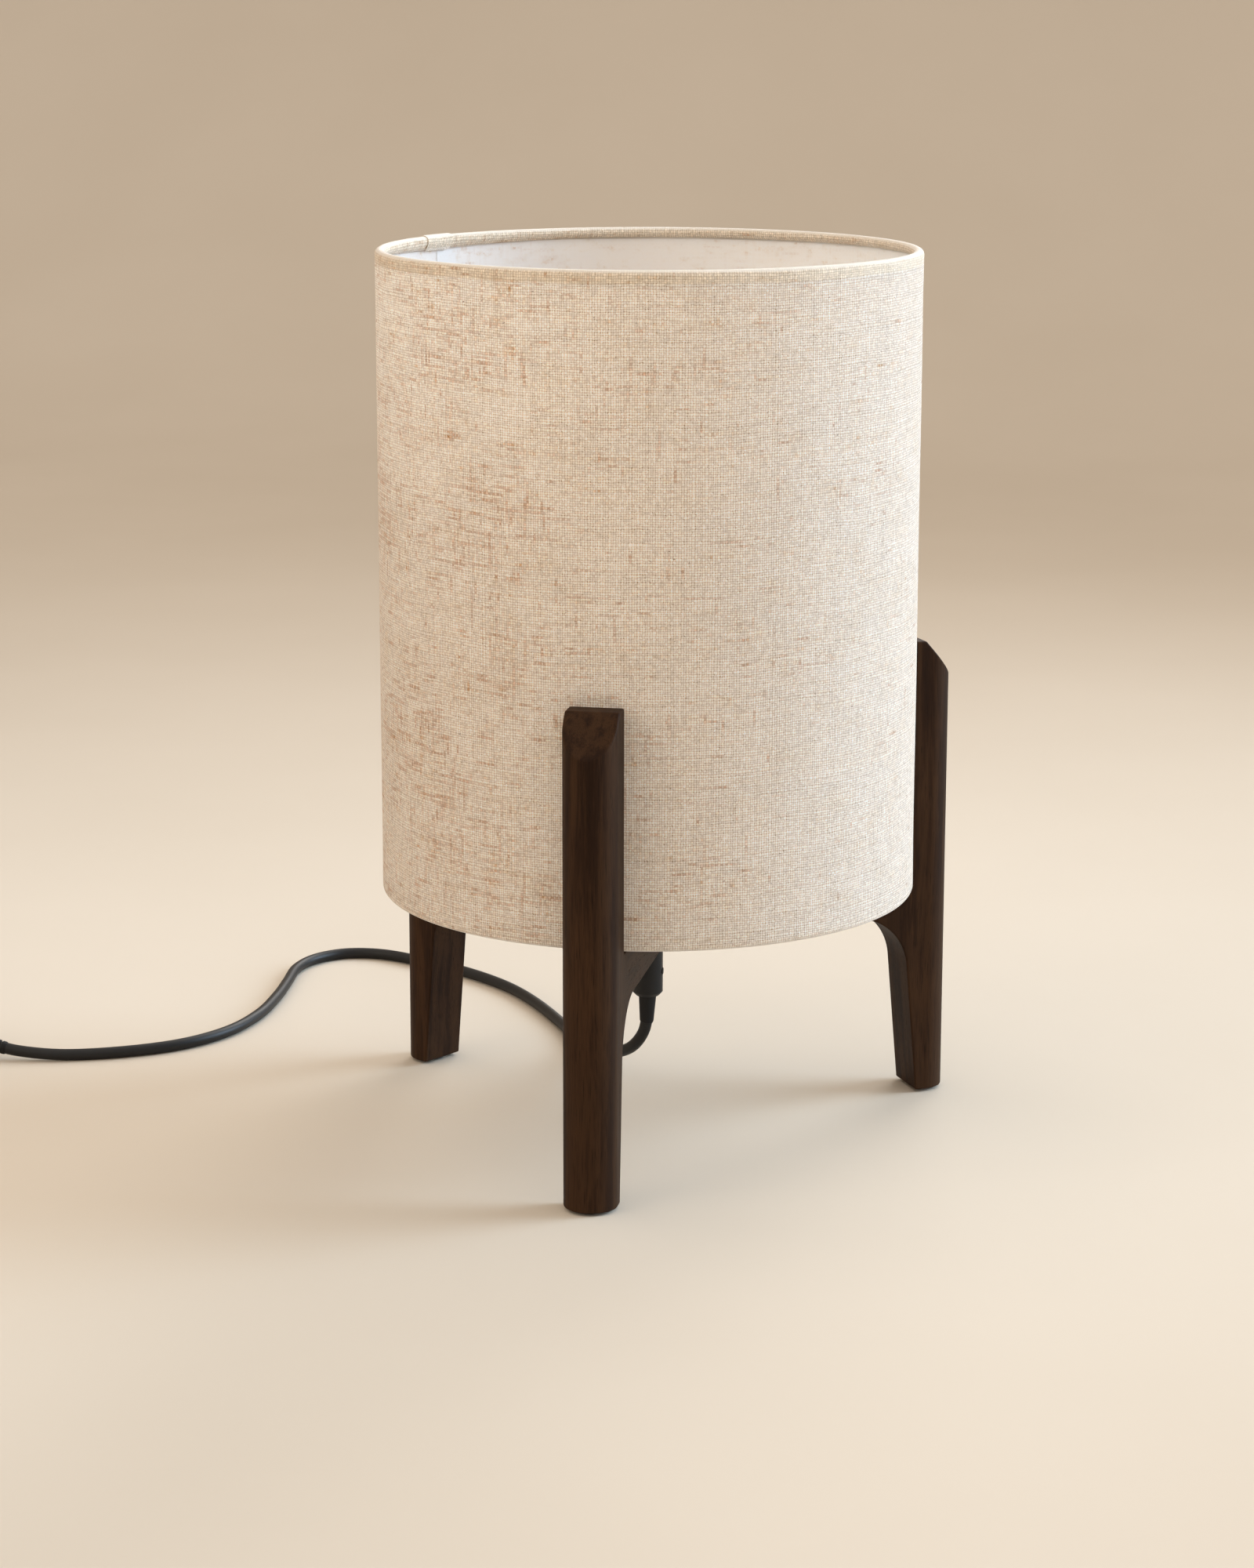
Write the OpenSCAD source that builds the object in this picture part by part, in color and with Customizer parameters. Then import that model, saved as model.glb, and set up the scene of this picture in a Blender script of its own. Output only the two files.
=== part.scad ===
// Tripod table lamp: three dark wood legs that carry a tall linen drum shade,
// a screw-base lampholder on the hub, and a mains lead with inline switch and plug.
// Millimetres, +Z up. The origin is on the lamp's axis, on the surface it stands on.
// The front leg stands on -Y, the other two at +30 and +150 degrees.

/* [Legs] */
// Radius from the axis to the outside of a leg
leg_outer_r = 134; // [130:1:140]
// Width of a leg and of its arm
leg_w = 21.5; // [18:0.5:24]
// Height of the leg tops
leg_top = 197; // [180:1:220]
// Radius where the flat leg top ends and its outer slope starts
leg_flat_r = 120; // [116:1:124]
// Height lost over the outer slope
leg_slope = 16; // [8:1:22]
// Radius of the leg's inner face at the foot
foot_inner_r = 118.8; // [116:0.2:121]
// Underside of the arms
arm_bottom = 79; // [74:1:84]
// Top of the arms
arm_top = 99.8; // [98:0.2:104]
// Radius of the inside corner between arm and leg
fillet_r = 24; // [16:1:28]
// Thickness of the pad under each foot
pad_t = 1.0; // [0.6:0.2:2]

/* [Shade] */
// Outer radius of the shade
shade_r = 110; // [108:0.5:110]
// Lower edge of the shade
shade_bottom = 100; // [100:0.5:104]
// Upper edge of the shade
shade_top = 363; // [320:1:400]
// Thickness of the linen
linen_t = 0.7; // [0.5:0.1:1]
// Thickness of the lining
lining_t = 0.5; // [0.3:0.1:0.8]
// Diameter of the rim wires
rim_wire_d = 2.4; // [2:0.2:3]
// Width of the vertical overlap seam
seam_w = 12; // [8:1:16]
// Direction of the overlap seam
seam_az = 152; // [145:1:160]

/* [Lampholder and bulb] */
// Outside radius of the lampholder's threaded skirt
skirt_r = 19; // [18.6:0.1:19.2]
// Radius of the bulb's screw cap
cap_r = 13; // [12.8:0.1:13.1]
// Greatest radius of the bulb's glass
glass_r = 17.5; // [15:0.5:18]
// Top of the bulb
glass_top = 242; // [230:1:250]
// Height of the fitter ring
fitter_z = 128.1; // [128.1:0.1:129]

/* [Lead] */
// Diameter of the mains lead
cord_d = 5; // [4.8:0.1:5.2]
// Radius of the coil at the middle of its turns
coil_r = 29.5; // [28:0.5:30]
// Length of the inline switch
switch_l = 60; // [56:1:64]
// Width of the inline switch
switch_w = 24; // [22:1:26]
// Height of the inline switch
switch_h = 17; // [16:1:18]
// Radius of a plug pin
pin_r = 2; // [2:0.1:2]
// Spacing of the plug pins
pin_pitch = 18.6; // [18.6:0.1:19]

/* [Hidden] */
$fn = 96;
legs_az = [-90, 30, 150];
hw = leg_w / 2;
cord_r = cord_d / 2;
// inner face of the leg below the arm leans in from the foot
lean = 5.2 / 57;
corner_r = foot_inner_r - lean * arm_bottom;
ln = sqrt(1 + lean * lean);
fil_z = arm_bottom - fillet_r;
fil_c = foot_inner_r - lean * (fil_z + fillet_r * lean / ln) - fillet_r / ln;
fil_tz = fil_z + fillet_r * lean / ln;
fil_tr = foot_inner_r - lean * fil_tz;
seat_r = shade_r + 0.5;
// lead route: out of the hub, down to the surface, round behind the legs and off to the left
run_pts = [[0, 0, 60], [0, 0, 52], [0, 0, 44], [-2, 1, 35], [-8, 5, 27], [-18, 15, 21], [-28, 34, 15], [-37, 58, 9],
  [-46, 84, 4], [-59, 113, 2.5], [-78, 145, 2.5], [-97, 170, 2.5], [-121, 191, 2.5], [-148, 207, 2.5],
  [-170, 216, 2.5], [-188, 214, 2.5], [-200, 201, 2.5], [-204, 183, 2.5], [-202, 160, 2.5], [-200, 135, 2.5], [-200, 105, 2.5],
  [-206, 76, 2.5], [-220, 53, 2.5], [-241, 37, 2.5], [-266, 27, 2.5], [-287, 24, 4], [-302, 24, 7], [-312, 24, 8.5]];
switch_x = -342;
switch_y = 24;
switch_z = 8.5;
coil_c = [-425, -10.5];
link_pts = [[-372, 24, 8.5], [-382, 24, 8], [-394, 24, 5.5], [-404, 24, 3.8], [-411, 24, 3.3]];
tail_pts = [[-424, -45, 8.3], [-416, -45, 8], [-406, -45, 7.4], [-396, -45, 7]];
plug_x = -398;
plug_y = -45;
plug_z = 7;

function cr(p, i, t) =
  let (a = p[max(i - 1, 0)], b = p[i], c = p[i + 1], d = p[min(i + 2, len(p) - 1)])
  0.5 * (2 * b + (c - a) * t + (2 * a - 5 * b + 4 * c - d) * t * t + (3 * b - a - 3 * c + d) * t * t * t);
function path(p, k) = concat([for (i = [0 : len(p) - 2], j = [0 : k - 1]) cr(p, i, j / k)], [p[len(p) - 1]]);
function unit(v) = v / norm(v);
function tang(q, i) = unit(q[min(i + 1, len(q) - 1)] - q[max(i - 1, 0)]);
// a sideways vector carried along the path without twist
function side(q, i, s) = let (t = tang(q, i)) unit(s - (s * t) * t);
function sides(q, s, i = 0) = i >= len(q) ? [] : let (v = side(q, i, s)) concat([v], sides(q, v, i + 1));

module tube(pts, r, k = 2, n = 10) {
  q = path(pts, k);
  sv = sides(q, [0, 1, 0.02]);
  m = len(q);
  polyhedron(
    points = [for (i = [0 : m - 1]) let (t = tang(q, i), u = sv[i], w = cross(t, u))
      for (j = [0 : n - 1]) q[i] + r * (cos(360 * j / n) * u + sin(360 * j / n) * w)],
    faces = concat([[for (j = [0 : n - 1]) j]],
      [for (i = [0 : m - 2], j = [0 : n - 1]) let (k2 = (j + 1) % n)
        [i * n + j, (i + 1) * n + j, (i + 1) * n + k2, i * n + k2]],
      [[for (j = [0 : n - 1]) (m - 1) * n + (n - 1 - j)]]));
}
module ring(ri, ro, z0, z1) { translate([0, 0, z0]) difference() { cylinder(r = ro, h = z1 - z0); translate([0, 0, -1]) cylinder(r = ri, h = z1 - z0 + 2); } }

// side view of one leg and arm, x outwards, y up
module leg_side() {
  difference() {
    polygon([[0, arm_bottom], [corner_r, arm_bottom], [foot_inner_r - lean * pad_t, pad_t], [leg_outer_r, pad_t],
      [leg_outer_r, leg_top - leg_slope], [leg_flat_r, leg_top], [seat_r, leg_top], [seat_r, arm_top], [0, arm_top]]);
  }
  difference() {
    polygon([[fil_c, arm_bottom + 0.5], [corner_r + 0.5, arm_bottom + 0.5], [fil_tr + 0.5, fil_tz], [fil_tr, fil_tz], [fil_c, fil_z]]);
    translate([fil_c, fil_z]) circle(r = fillet_r);
  }
}
// plan view: flat sides, half-round outer face, 120 degree mitre at the hub
module leg_plan() {
  intersection() {
    union() {
      translate([-1, -hw]) square([leg_outer_r - hw + 1, leg_w]);
      translate([leg_outer_r - hw, 0]) circle(r = hw);
    }
    polygon([[0.06, 0], [60.06, 103.92], [200, 103.92], [200, -103.92], [60.06, -103.92]]);
  }
}
module leg(az) {
  rotate([0, 0, az]) difference() {
    intersection() {
      translate([0, hw + 1, 0]) rotate([90, 0, 0]) linear_extrude(height = leg_w + 2) leg_side();
      translate([0, 0, -1]) linear_extrude(height = leg_top + 5) leg_plan();
    }
    translate([0, 0, arm_bottom - 5]) cylinder(r = 5.2, h = 40);
    translate([21, 0, arm_top - 16]) cylinder(r = 1.6, h = 20);
  }
}
module leg_front() { color([0.16, 0.10, 0.07]) leg(legs_az[0]); }
module leg_right() { color([0.16, 0.10, 0.07]) leg(legs_az[1]); }
module leg_left() { color([0.16, 0.10, 0.07]) leg(legs_az[2]); }
module foot_pads() { color([0.1, 0.1, 0.1]) for (a = legs_az) rotate([0, 0, a]) translate([leg_outer_r - 8.2, 0, 0]) cylinder(r = 5.5, h = pad_t); }

module hub_plate() {
  color([0.2, 0.2, 0.2]) difference() {
    translate([0, 0, arm_top]) cylinder(r = 29, h = 2);
    translate([0, 0, arm_top - 1]) cylinder(r = 5.1, h = 4);
    for (a = legs_az) rotate([0, 0, a]) translate([21, 0, arm_top - 1]) { cylinder(r = 1.7, h = 4); translate([0, 0, 1.4]) cylinder(r1 = 1.7, r2 = 3.3, h = 1.61); }
  }
}
module hub_screws() {
  color([0.6, 0.6, 0.6]) for (a = legs_az) rotate([0, 0, a]) translate([21, 0, arm_top - 15]) difference() {
    union() { cylinder(r = 1.55, h = 15.5); translate([0, 0, 15.42]) cylinder(r1 = 1.55, r2 = 3.1, h = 1.55); }
    translate([-0.4, -2, 16.4]) cube([0.8, 4, 1]);
    translate([-2, -0.4, 16.4]) cube([4, 0.8, 1]);
  }
}
module threaded_tube() { color([0.75, 0.7, 0.5]) ring(3.4, 4.95, 66, 111); }
module tube_washer() { color([0.7, 0.7, 0.7]) ring(5.1, 9, arm_top + 2, arm_top + 3); }
module tube_nut() { color([0.7, 0.7, 0.7]) translate([0, 0, arm_top + 3]) difference() { cylinder(r = 8.1, h = 3, $fn = 6); translate([0, 0, -1]) cylinder(r = 5, h = 5); } }

// cord grip: plain black body with a chamfered foot, threaded onto the tube
module cord_grip() {
  color([0.05, 0.05, 0.05]) difference() {
    rotate_extrude() polygon([[3.9, 52], [4.9, 52], [6.4, 53.6], [6.4, arm_bottom], [5, arm_bottom], [5, 65.5], [4.2, 65.5], [4.2, 60], [3.9, 60]]);
    translate([3, 0, 62.5]) rotate([0, 90, 0]) cylinder(r = 1.5, h = 6);
  }
}
module grip_screw() { color([0.1, 0.1, 0.1]) translate([4.3, 0, 62.5]) rotate([0, 90, 0]) difference() { cylinder(r = 1.45, h = 2.3); translate([-2, -0.3, 1.7]) cube([4, 0.6, 1]); } }
// tapered sleeve that guides the lead out of the grip
module grip_sleeve() { color([0.05, 0.05, 0.05]) rotate_extrude() polygon([[cord_r + 0.05, 40], [cord_r + 0.35, 40], [3.85, 60], [cord_r + 0.05, 60]]); }

module holder_cap() {
  color([0.06, 0.06, 0.06]) rotate_extrude() polygon([[5.1, 105.8], [14, 105.8], [17.5, 107], [19.6, 109.5], [20.4, 113], [20.4, 125.9], [18.6, 125.9], [18.6, 113.6], [16.6, 109.8], [13.6, 108.4], [5.1, 108.4]]);
}
module holder_skirt() {
  color([0.06, 0.06, 0.06]) rotate_extrude() polygon([[14.6, 126], [22.5, 126], [22.5, 128], [skirt_r, 128],
    [skirt_r, 130], [skirt_r + 0.25, 130.5], [skirt_r, 131], [skirt_r, 132.5], [skirt_r + 0.25, 133], [skirt_r, 133.5],
    [skirt_r, 135], [skirt_r + 0.25, 135.5], [skirt_r, 136], [skirt_r, 156.5], [skirt_r - 1.5, 158], [14.6, 158]]);
}
module contact_carrier() {
  color([0.9, 0.9, 0.86]) difference() {
    translate([0, 0, 121]) cylinder(r = 14.4, h = 6);
    for (s = [-1, 1]) translate([s * 8, 0, 120]) cylinder(r = 1.3, h = 4);
  }
}
module screw_shell() { color([0.8, 0.65, 0.3]) ring(13.6, 14.3, 127.1, 156); }
module centre_contact() {
  color([0.8, 0.65, 0.3]) { translate([0, 0, 127.05]) cylinder(r = 3, h = 0.8); translate([0, 0, 127.8]) cylinder(r1 = 3, r2 = 1.6, h = 1.5); }
}
module terminal_screws() { color([0.75, 0.75, 0.7]) for (s = [-1, 1]) translate([s * 11.2, 0, 118.2]) { cylinder(r = 1.1, h = 2.75); translate([0, 0, -1.2]) cylinder(r = 2, h = 1.3); } }
module lead_brown() { color([0.35, 0.18, 0.08]) tube([[1.3, 0, 66], [1.3, 0, 90], [1.3, 0, 110], [3, 0, 116], [6.5, 0, 119], [8, 0, 122.5]], 1.0, 2, 8); }
module lead_blue() { color([0.1, 0.25, 0.7]) tube([[-1.3, 0, 66], [-1.3, 0, 90], [-1.3, 0, 110], [-3, 0, 116], [-6.5, 0, 119], [-8, 0, 122.5]], 1.0, 2, 8); }

// drum shade, built of linen laminated on a lining and rolled over two rim wires
wire_r = shade_r - linen_t - 0.3 - rim_wire_d / 2;
module shade_linen() { color([0.85, 0.78, 0.67]) ring(shade_r - linen_t, shade_r, shade_bottom, shade_top); }
module shade_lining() { color([0.95, 0.94, 0.92]) ring(shade_r - linen_t - 0.05 - lining_t, shade_r - linen_t - 0.05, shade_bottom + 6.5, shade_top - 6.5); }
module rim_wire(z) { rotate_extrude() translate([wire_r, z]) circle(d = rim_wire_d, $fn = 32); }
module rim_wire_top() { color([0.9, 0.9, 0.9]) rim_wire(shade_top - 0.75 - rim_wire_d / 2); }
module rim_wire_bottom() { color([0.9, 0.9, 0.9]) rim_wire(shade_bottom + 0.75 + rim_wire_d / 2); }
// turned-in cloth: over the wire and back down the inside; u is measured inwards, v away from the rim
module hem_profile() {
  o = linen_t + 0.05;
  polygon([[o, 0], [o + rim_wire_d + 0.9, 0], [o + rim_wire_d + 1.2, 0.5], [o + rim_wire_d + 1.2, 3.0], [o + 0.9, 6.2], [o + 0.3, 6.2],
    [o + rim_wire_d + 0.55, 2.9], [o + rim_wire_d + 0.55, 0.65], [o, 0.65]]);
}
module hem_top() { color([0.8, 0.7, 0.56]) rotate_extrude() translate([shade_r, shade_top]) rotate([0, 0, 180]) hem_profile(); }
module hem_bottom() { color([0.8, 0.7, 0.56]) rotate_extrude() translate([shade_r, shade_bottom]) mirror([1, 0]) hem_profile(); }
module overlap_seam() {
  a = seam_w / shade_r * 180 / PI;
  color([0.84, 0.77, 0.66]) rotate([0, 0, seam_az - a / 2]) translate([0, 0, shade_bottom + 6.5])
    rotate_extrude(angle = a) translate([shade_r - linen_t - 0.1 - lining_t - 0.5, 0]) square([0.5, shade_top - shade_bottom - 13]);
}
// three wires from the lower rim up to the fitter ring
module spider() {
  wr = wire_r - rim_wire_d / 2 - 1.3;
  color([0.9, 0.9, 0.9]) for (a = [90, 210, 330]) rotate([0, 0, a]) {
    dx = wr - 23.2;
    dz = fitter_z + 0.6 - (shade_bottom + 5);
    translate([23.2, 0, fitter_z + 0.6]) rotate([0, 90 + atan(dz / dx), 0]) cylinder(r = 1.3, h = sqrt(dx * dx + dz * dz));
  }
}
module fitter_ring() {
  color([0.9, 0.9, 0.9]) difference() {
    ring(20.2, 25.5, fitter_z, fitter_z + 1.2);
    for (a = [90, 210, 330]) rotate([0, 0, a]) translate([21.9, -1.5, fitter_z - 1]) cube([6, 3, 4]);
  }
}
module retaining_ring() {
  color([0.06, 0.06, 0.06]) difference() {
    rotate_extrude() polygon([[19.35, fitter_z + 2], [24.5, fitter_z + 2], [25, fitter_z + 2.5], [25, fitter_z + 7], [24, fitter_z + 8], [19.35, fitter_z + 8]]);
    for (a = [0 : 15 : 345]) rotate([0, 0, a]) translate([25.5, 0, fitter_z]) cylinder(r = 1.1, h = 12);
  }
}

module bulb_glass() {
  w = 0.9;
  color([0.9, 0.95, 1, 0.4]) rotate_extrude() difference() {
    union() {
      polygon([[0, 156.5], [12.3, 156.5], [12.6, 162], [15.2, 170], [glass_r - 0.3, 178], [glass_r, 184], [glass_r, glass_top - glass_r], [0, glass_top - glass_r]]);
      intersection() { translate([0, glass_top - glass_r]) circle(r = glass_r); translate([0, 190]) square([40, 80]); }
    }
    polygon([[-1, 150], [12.3 - w, 150], [12.6 - w, 162], [15.2 - w, 170], [glass_r - 0.3 - w, 178], [glass_r - w, 184], [glass_r - w, glass_top - glass_r], [-1, glass_top - glass_r]]);
    translate([0, glass_top - glass_r]) circle(r = glass_r - w);
  }
}
module bulb_cap() {
  color([0.85, 0.85, 0.8]) rotate_extrude() polygon([[4.7, 132.6], [9, 132.6], [11.6, 134.5], [11.8, 136], [cap_r, 137.6], [12.3, 139.4],
    [cap_r, 141.2], [12.3, 143], [cap_r, 144.8], [12.3, 146.6], [cap_r, 148.4], [12.3, 150.2], [cap_r, 152], [cap_r, 158.5], [12.7, 158.5], [12.4, 153], [11.2, 150], [11.2, 137], [8.5, 134], [4.7, 134]]);
}
module bulb_insulator() { color([0.05, 0.05, 0.08]) rotate_extrude() polygon([[2.6, 130.6], [4.8, 130.6], [8.6, 132.5], [4.6, 132.5], [4.6, 134], [2.6, 134]]); }
module bulb_contact() { color([0.75, 0.75, 0.75]) rotate_extrude() polygon([[0, 129.6], [2, 129.8], [3.6, 130.5], [2.5, 130.55], [2.5, 132.5], [0, 132.5]]); }
module bulb_stem() { color([0.9, 0.95, 1, 0.5]) rotate_extrude() polygon([[0, 157], [11.1, 157], [8, 160], [4, 166], [2.4, 176], [1.6, 188], [1.4, 218], [0, 220]]); }
module bulb_filaments() {
  color([0.95, 0.8, 0.35]) for (a = [45 : 90 : 315]) rotate([0, 0, a]) translate([5, 0, 180]) rotate([0, 4, 0]) cylinder(r = 0.8, h = 38);
}

// mains lead, inline switch, coil and plug
module cord_run() { color([0.04, 0.04, 0.04]) tube(run_pts, cord_r, 2, 10); }
module pill(l, w, r, h) {
  cube([l - 2 * r, w, h]);
  translate([-r, r, 0]) cube([l, w - 2 * r, h]);
  for (x = [0, l - 2 * r], y = [r, w - r]) translate([x, y, 0]) cylinder(r = r, h = h, $fn = 48);
}
module block(l, w, r, h) { translate([-l / 2 + r, -w / 2, 0]) pill(l, w, r, h); }
module switch_holes() { for (s = [-1, 1]) translate([s * (switch_l / 2 + 1), 0, switch_z]) rotate([0, -s * 90, 0]) cylinder(r = cord_r + 1.15, h = 6); }
module at_switch() { translate([switch_x, switch_y, 0]) children(); }
module switch_base() {
  color([0.05, 0.05, 0.05]) at_switch() difference() {
    block(switch_l, switch_w, 9, switch_z);
    translate([0, 0, 1.6]) block(switch_l - 4, switch_w - 4, 7.5, switch_z);
    switch_holes();
    for (s = [-1, 1]) translate([s * 22.4, 0, -1]) cylinder(r = 1.6, h = 4);
  }
}
module switch_cover() {
  color([0.05, 0.05, 0.05]) at_switch() difference() {
    union() {
      difference() {
        union() {
          translate([0, 0, switch_z]) block(switch_l, switch_w, 9, switch_h - switch_z - 2);
          translate([0, 0, switch_h - 2]) block(switch_l - 2, switch_w - 2, 8.2, 2);
        }
        translate([0, 0, switch_z - 1]) block(switch_l - 4, switch_w - 4, 7.5, switch_h - switch_z - 0.8);
      }
      for (s = [-1, 1]) translate([-2.5, s * 6.4 - 0.9, 12]) cube([5, 1.8, 3.6]);
    }
    switch_holes();
    translate([-9, -5.5, switch_h - 4]) cube([18, 11, 8]);
    translate([0, 7.4, 14.2]) rotate([90, 0, 0]) cylinder(r = 1.04, h = 14.8);
  }
}
module switch_rocker() {
  color([0.07, 0.07, 0.07]) at_switch() translate([0, 0, 14.2]) rotate([0, -7, 0]) difference() {
    translate([0, 4.9, 0]) rotate([90, 0, 0]) linear_extrude(height = 9.8)
      difference() {
        polygon([[-7.9, -1.2], [-3, -3.2], [3, -3.2], [7.9, -1.2], [7.9, 4.2], [4, 3.4], [0, 3], [-4, 3.4], [-7.9, 4.2]]);
      }
    translate([0, 8, 0]) rotate([90, 0, 0]) cylinder(r = 1.06, h = 16);
  }
}
module switch_pin() { color([0.7, 0.7, 0.7]) at_switch() translate([0, 7.2, 14.2]) rotate([90, 0, 0]) cylinder(r = 1.0, h = 14.4); }
module switch_screws() { color([0.6, 0.6, 0.6]) at_switch() for (s = [-1, 1]) translate([s * 22.4, 0, 0.5]) { cylinder(r = 1.5, h = 1.05); translate([0, 0, 1]) cylinder(r = 1.1, h = 13); } }
module switch_sleeves() {
  color([0.05, 0.05, 0.05]) at_switch() for (s = [-1, 1]) translate([s * (switch_l / 2 - 3), 0, switch_z]) rotate([0, s * 90, 0])
    rotate_extrude() polygon([[cord_r + 0.05, 0], [cord_r + 1.6, 0], [cord_r + 1.6, 0.9], [cord_r + 1.1, 1], [cord_r + 1.1, 4], [cord_r + 0.4, 17], [cord_r + 0.05, 17]]);
}
module switch_contacts() { color([0.8, 0.65, 0.3]) at_switch() for (s = [-1, 1]) translate([s * 12 - 3, -2.5, 4]) cube([6, 5, 4.2]); }
module cord_link() { color([0.04, 0.04, 0.04]) tube(link_pts, cord_r, 1, 10); }
module cord_coil() {
  o = coil_r + cord_d + cord_r;
  i = coil_r - cord_d - cord_r;
  color([0.04, 0.04, 0.04]) translate(coil_c) rotate_extrude()
    polygon([[i + 1.2, 0.8], [o - 1.2, 0.8], [o, 2], [o, 9.6], [o - 1.2, 10.8], [i + 1.2, 10.8], [i, 9.6], [i, 2]]);
}
module cable_tie() {
  o = coil_r + cord_d + cord_r;
  i = coil_r - cord_d - cord_r;
  color([0.03, 0.03, 0.03]) translate(coil_c) {
    rotate([0, 0, 175]) rotate_extrude(angle = 10) difference() {
      polygon([[i - 0.9, 1.2], [i + 0.5, 0], [o - 0.5, 0], [o + 0.9, 1.2], [o + 0.9, 10.4], [o - 0.5, 11.6], [i + 0.5, 11.6], [i - 0.9, 10.4]]);
      polygon([[i + 1.2, 0.8], [o - 1.2, 0.8], [o + 0.02, 2], [o + 0.02, 9.6], [o - 1.2, 10.82], [i + 1.2, 10.82], [i - 0.02, 9.6], [i - 0.02, 2]]);
    }
    translate([-(coil_r + 4), -4, 11.6]) cube([7, 8, 4]);
  }
}
module cord_tail() { color([0.04, 0.04, 0.04]) tube(tail_pts, cord_r, 1, 10); }
module at_plug() { translate([plug_x, plug_y, plug_z]) rotate([0, 90, 0]) children(); }
module plug_sleeve() {
  color([0.04, 0.04, 0.04]) at_plug() rotate_extrude() polygon([[cord_r + 0.05, 0], [cord_r + 0.6, 0], [cord_r + 2.6, 24], [cord_r + 0.05, 24]]);
}
// flat two-pin plug: narrow at the lead, wide at the pins
module plug_body() {
  color([0.04, 0.04, 0.04]) translate([plug_x + 24, plug_y, plug_z]) difference() {
    intersection() {
      translate([0, 0, -6.8]) linear_extrude(height = 13.6) polygon([[0, -6], [3, -8], [14, -9.5], [24, -16], [29, -17.4], [36, -17.4], [36, 17.4], [29, 17.4], [24, 16], [14, 9.5], [3, 8], [0, 6]]);
      rotate([90, 0, 0]) translate([0, 0, -20]) linear_extrude(height = 40) polygon([[0, -5.2], [4, -6.8], [35, -6.8], [36, -5.8], [36, 5.8], [35, 6.8], [4, 6.8], [0, 5.2]]);
    }
    translate([-0.1, 0, 0]) rotate([0, 90, 0]) cylinder(r = cord_r + 0.05, h = 4);
    for (s = [-1, 1]) translate([32, s * pin_pitch / 2, 0]) rotate([0, 90, 0]) cylinder(r = 1.67, h = 6);
  }
}
module pin_collars() { color([0.04, 0.04, 0.04]) for (s = [-1, 1]) translate([plug_x + 60.05, plug_y + s * pin_pitch / 2, plug_z]) rotate([0, 90, 0]) ring(1.66, 1.82, 0, 10); }
module plug_pins() {
  color([0.8, 0.75, 0.6]) for (s = [-1, 1]) translate([plug_x + 56.1, plug_y + s * pin_pitch / 2, plug_z]) rotate([0, 90, 0])
    { cylinder(r = 1.65, h = 14); translate([0, 0, 13.95]) cylinder(r = pin_r, h = 7.6); translate([0, 0, 21.55]) cylinder(r1 = pin_r, r2 = 1, h = 1.4); }
}

leg_front();
leg_right();
leg_left();
foot_pads();
hub_plate();
hub_screws();
threaded_tube();
tube_washer();
tube_nut();
cord_grip();
grip_screw();
grip_sleeve();
holder_cap();
holder_skirt();
contact_carrier();
screw_shell();
centre_contact();
terminal_screws();
lead_brown();
lead_blue();
shade_linen();
shade_lining();
rim_wire_top();
rim_wire_bottom();
hem_top();
hem_bottom();
overlap_seam();
spider();
fitter_ring();
retaining_ring();
bulb_glass();
bulb_cap();
bulb_insulator();
bulb_contact();
bulb_stem();
bulb_filaments();
cord_run();
switch_base();
switch_cover();
switch_rocker();
switch_pin();
switch_screws();
switch_sleeves();
switch_contacts();
cord_link();
cord_coil();
cable_tie();
cord_tail();
plug_sleeve();
plug_body();
pin_collars();
plug_pins();
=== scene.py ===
"""Looks for the tripod table lamp: camera, lead, cloth, wood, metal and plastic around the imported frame."""
import math

import bpy
import bmesh
import numpy as np
from mathutils import Matrix, Vector


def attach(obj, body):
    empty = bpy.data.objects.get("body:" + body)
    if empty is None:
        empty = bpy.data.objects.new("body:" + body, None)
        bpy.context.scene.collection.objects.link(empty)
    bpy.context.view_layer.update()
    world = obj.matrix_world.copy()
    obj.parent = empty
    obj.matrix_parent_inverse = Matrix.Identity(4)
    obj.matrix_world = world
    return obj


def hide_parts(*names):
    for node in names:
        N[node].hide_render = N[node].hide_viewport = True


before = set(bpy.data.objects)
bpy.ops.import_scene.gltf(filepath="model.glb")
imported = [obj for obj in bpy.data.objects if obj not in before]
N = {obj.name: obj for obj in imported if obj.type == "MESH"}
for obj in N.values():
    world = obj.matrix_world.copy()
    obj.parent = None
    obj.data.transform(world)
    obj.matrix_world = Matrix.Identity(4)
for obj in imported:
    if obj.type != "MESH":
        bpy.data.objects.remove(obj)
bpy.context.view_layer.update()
S = 0.001
scene = bpy.context.scene


# ---------------------------------------------------------------- camera
def add_camera():
    yaw, pitch, roll = -0.184625, 0.2220, 0.0011
    cp, sp = math.cos(pitch), math.sin(pitch)
    fwd = Vector((math.sin(yaw) * cp, math.cos(yaw) * cp, -sp))
    rt = Vector((math.cos(yaw), -math.sin(yaw), 0))
    up = rt.cross(fwd)
    r2 = math.cos(roll) * rt + math.sin(roll) * up
    u2 = -math.sin(roll) * rt + math.cos(roll) * up
    cam = bpy.data.cameras.new("camera")
    cam.lens, cam.sensor_width, cam.sensor_fit = 85.71, 36, "AUTO"
    cam.clip_start, cam.clip_end = 0.05, 50
    ob = bpy.data.objects.new("camera", cam)
    m = Matrix((r2, u2, -fwd)).transposed().to_4x4()
    m.translation = Vector((0.2681, -1.4830, 0.4825))
    ob.matrix_world = m
    scene.collection.objects.link(ob)
    scene.camera = ob


add_camera()


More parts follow.
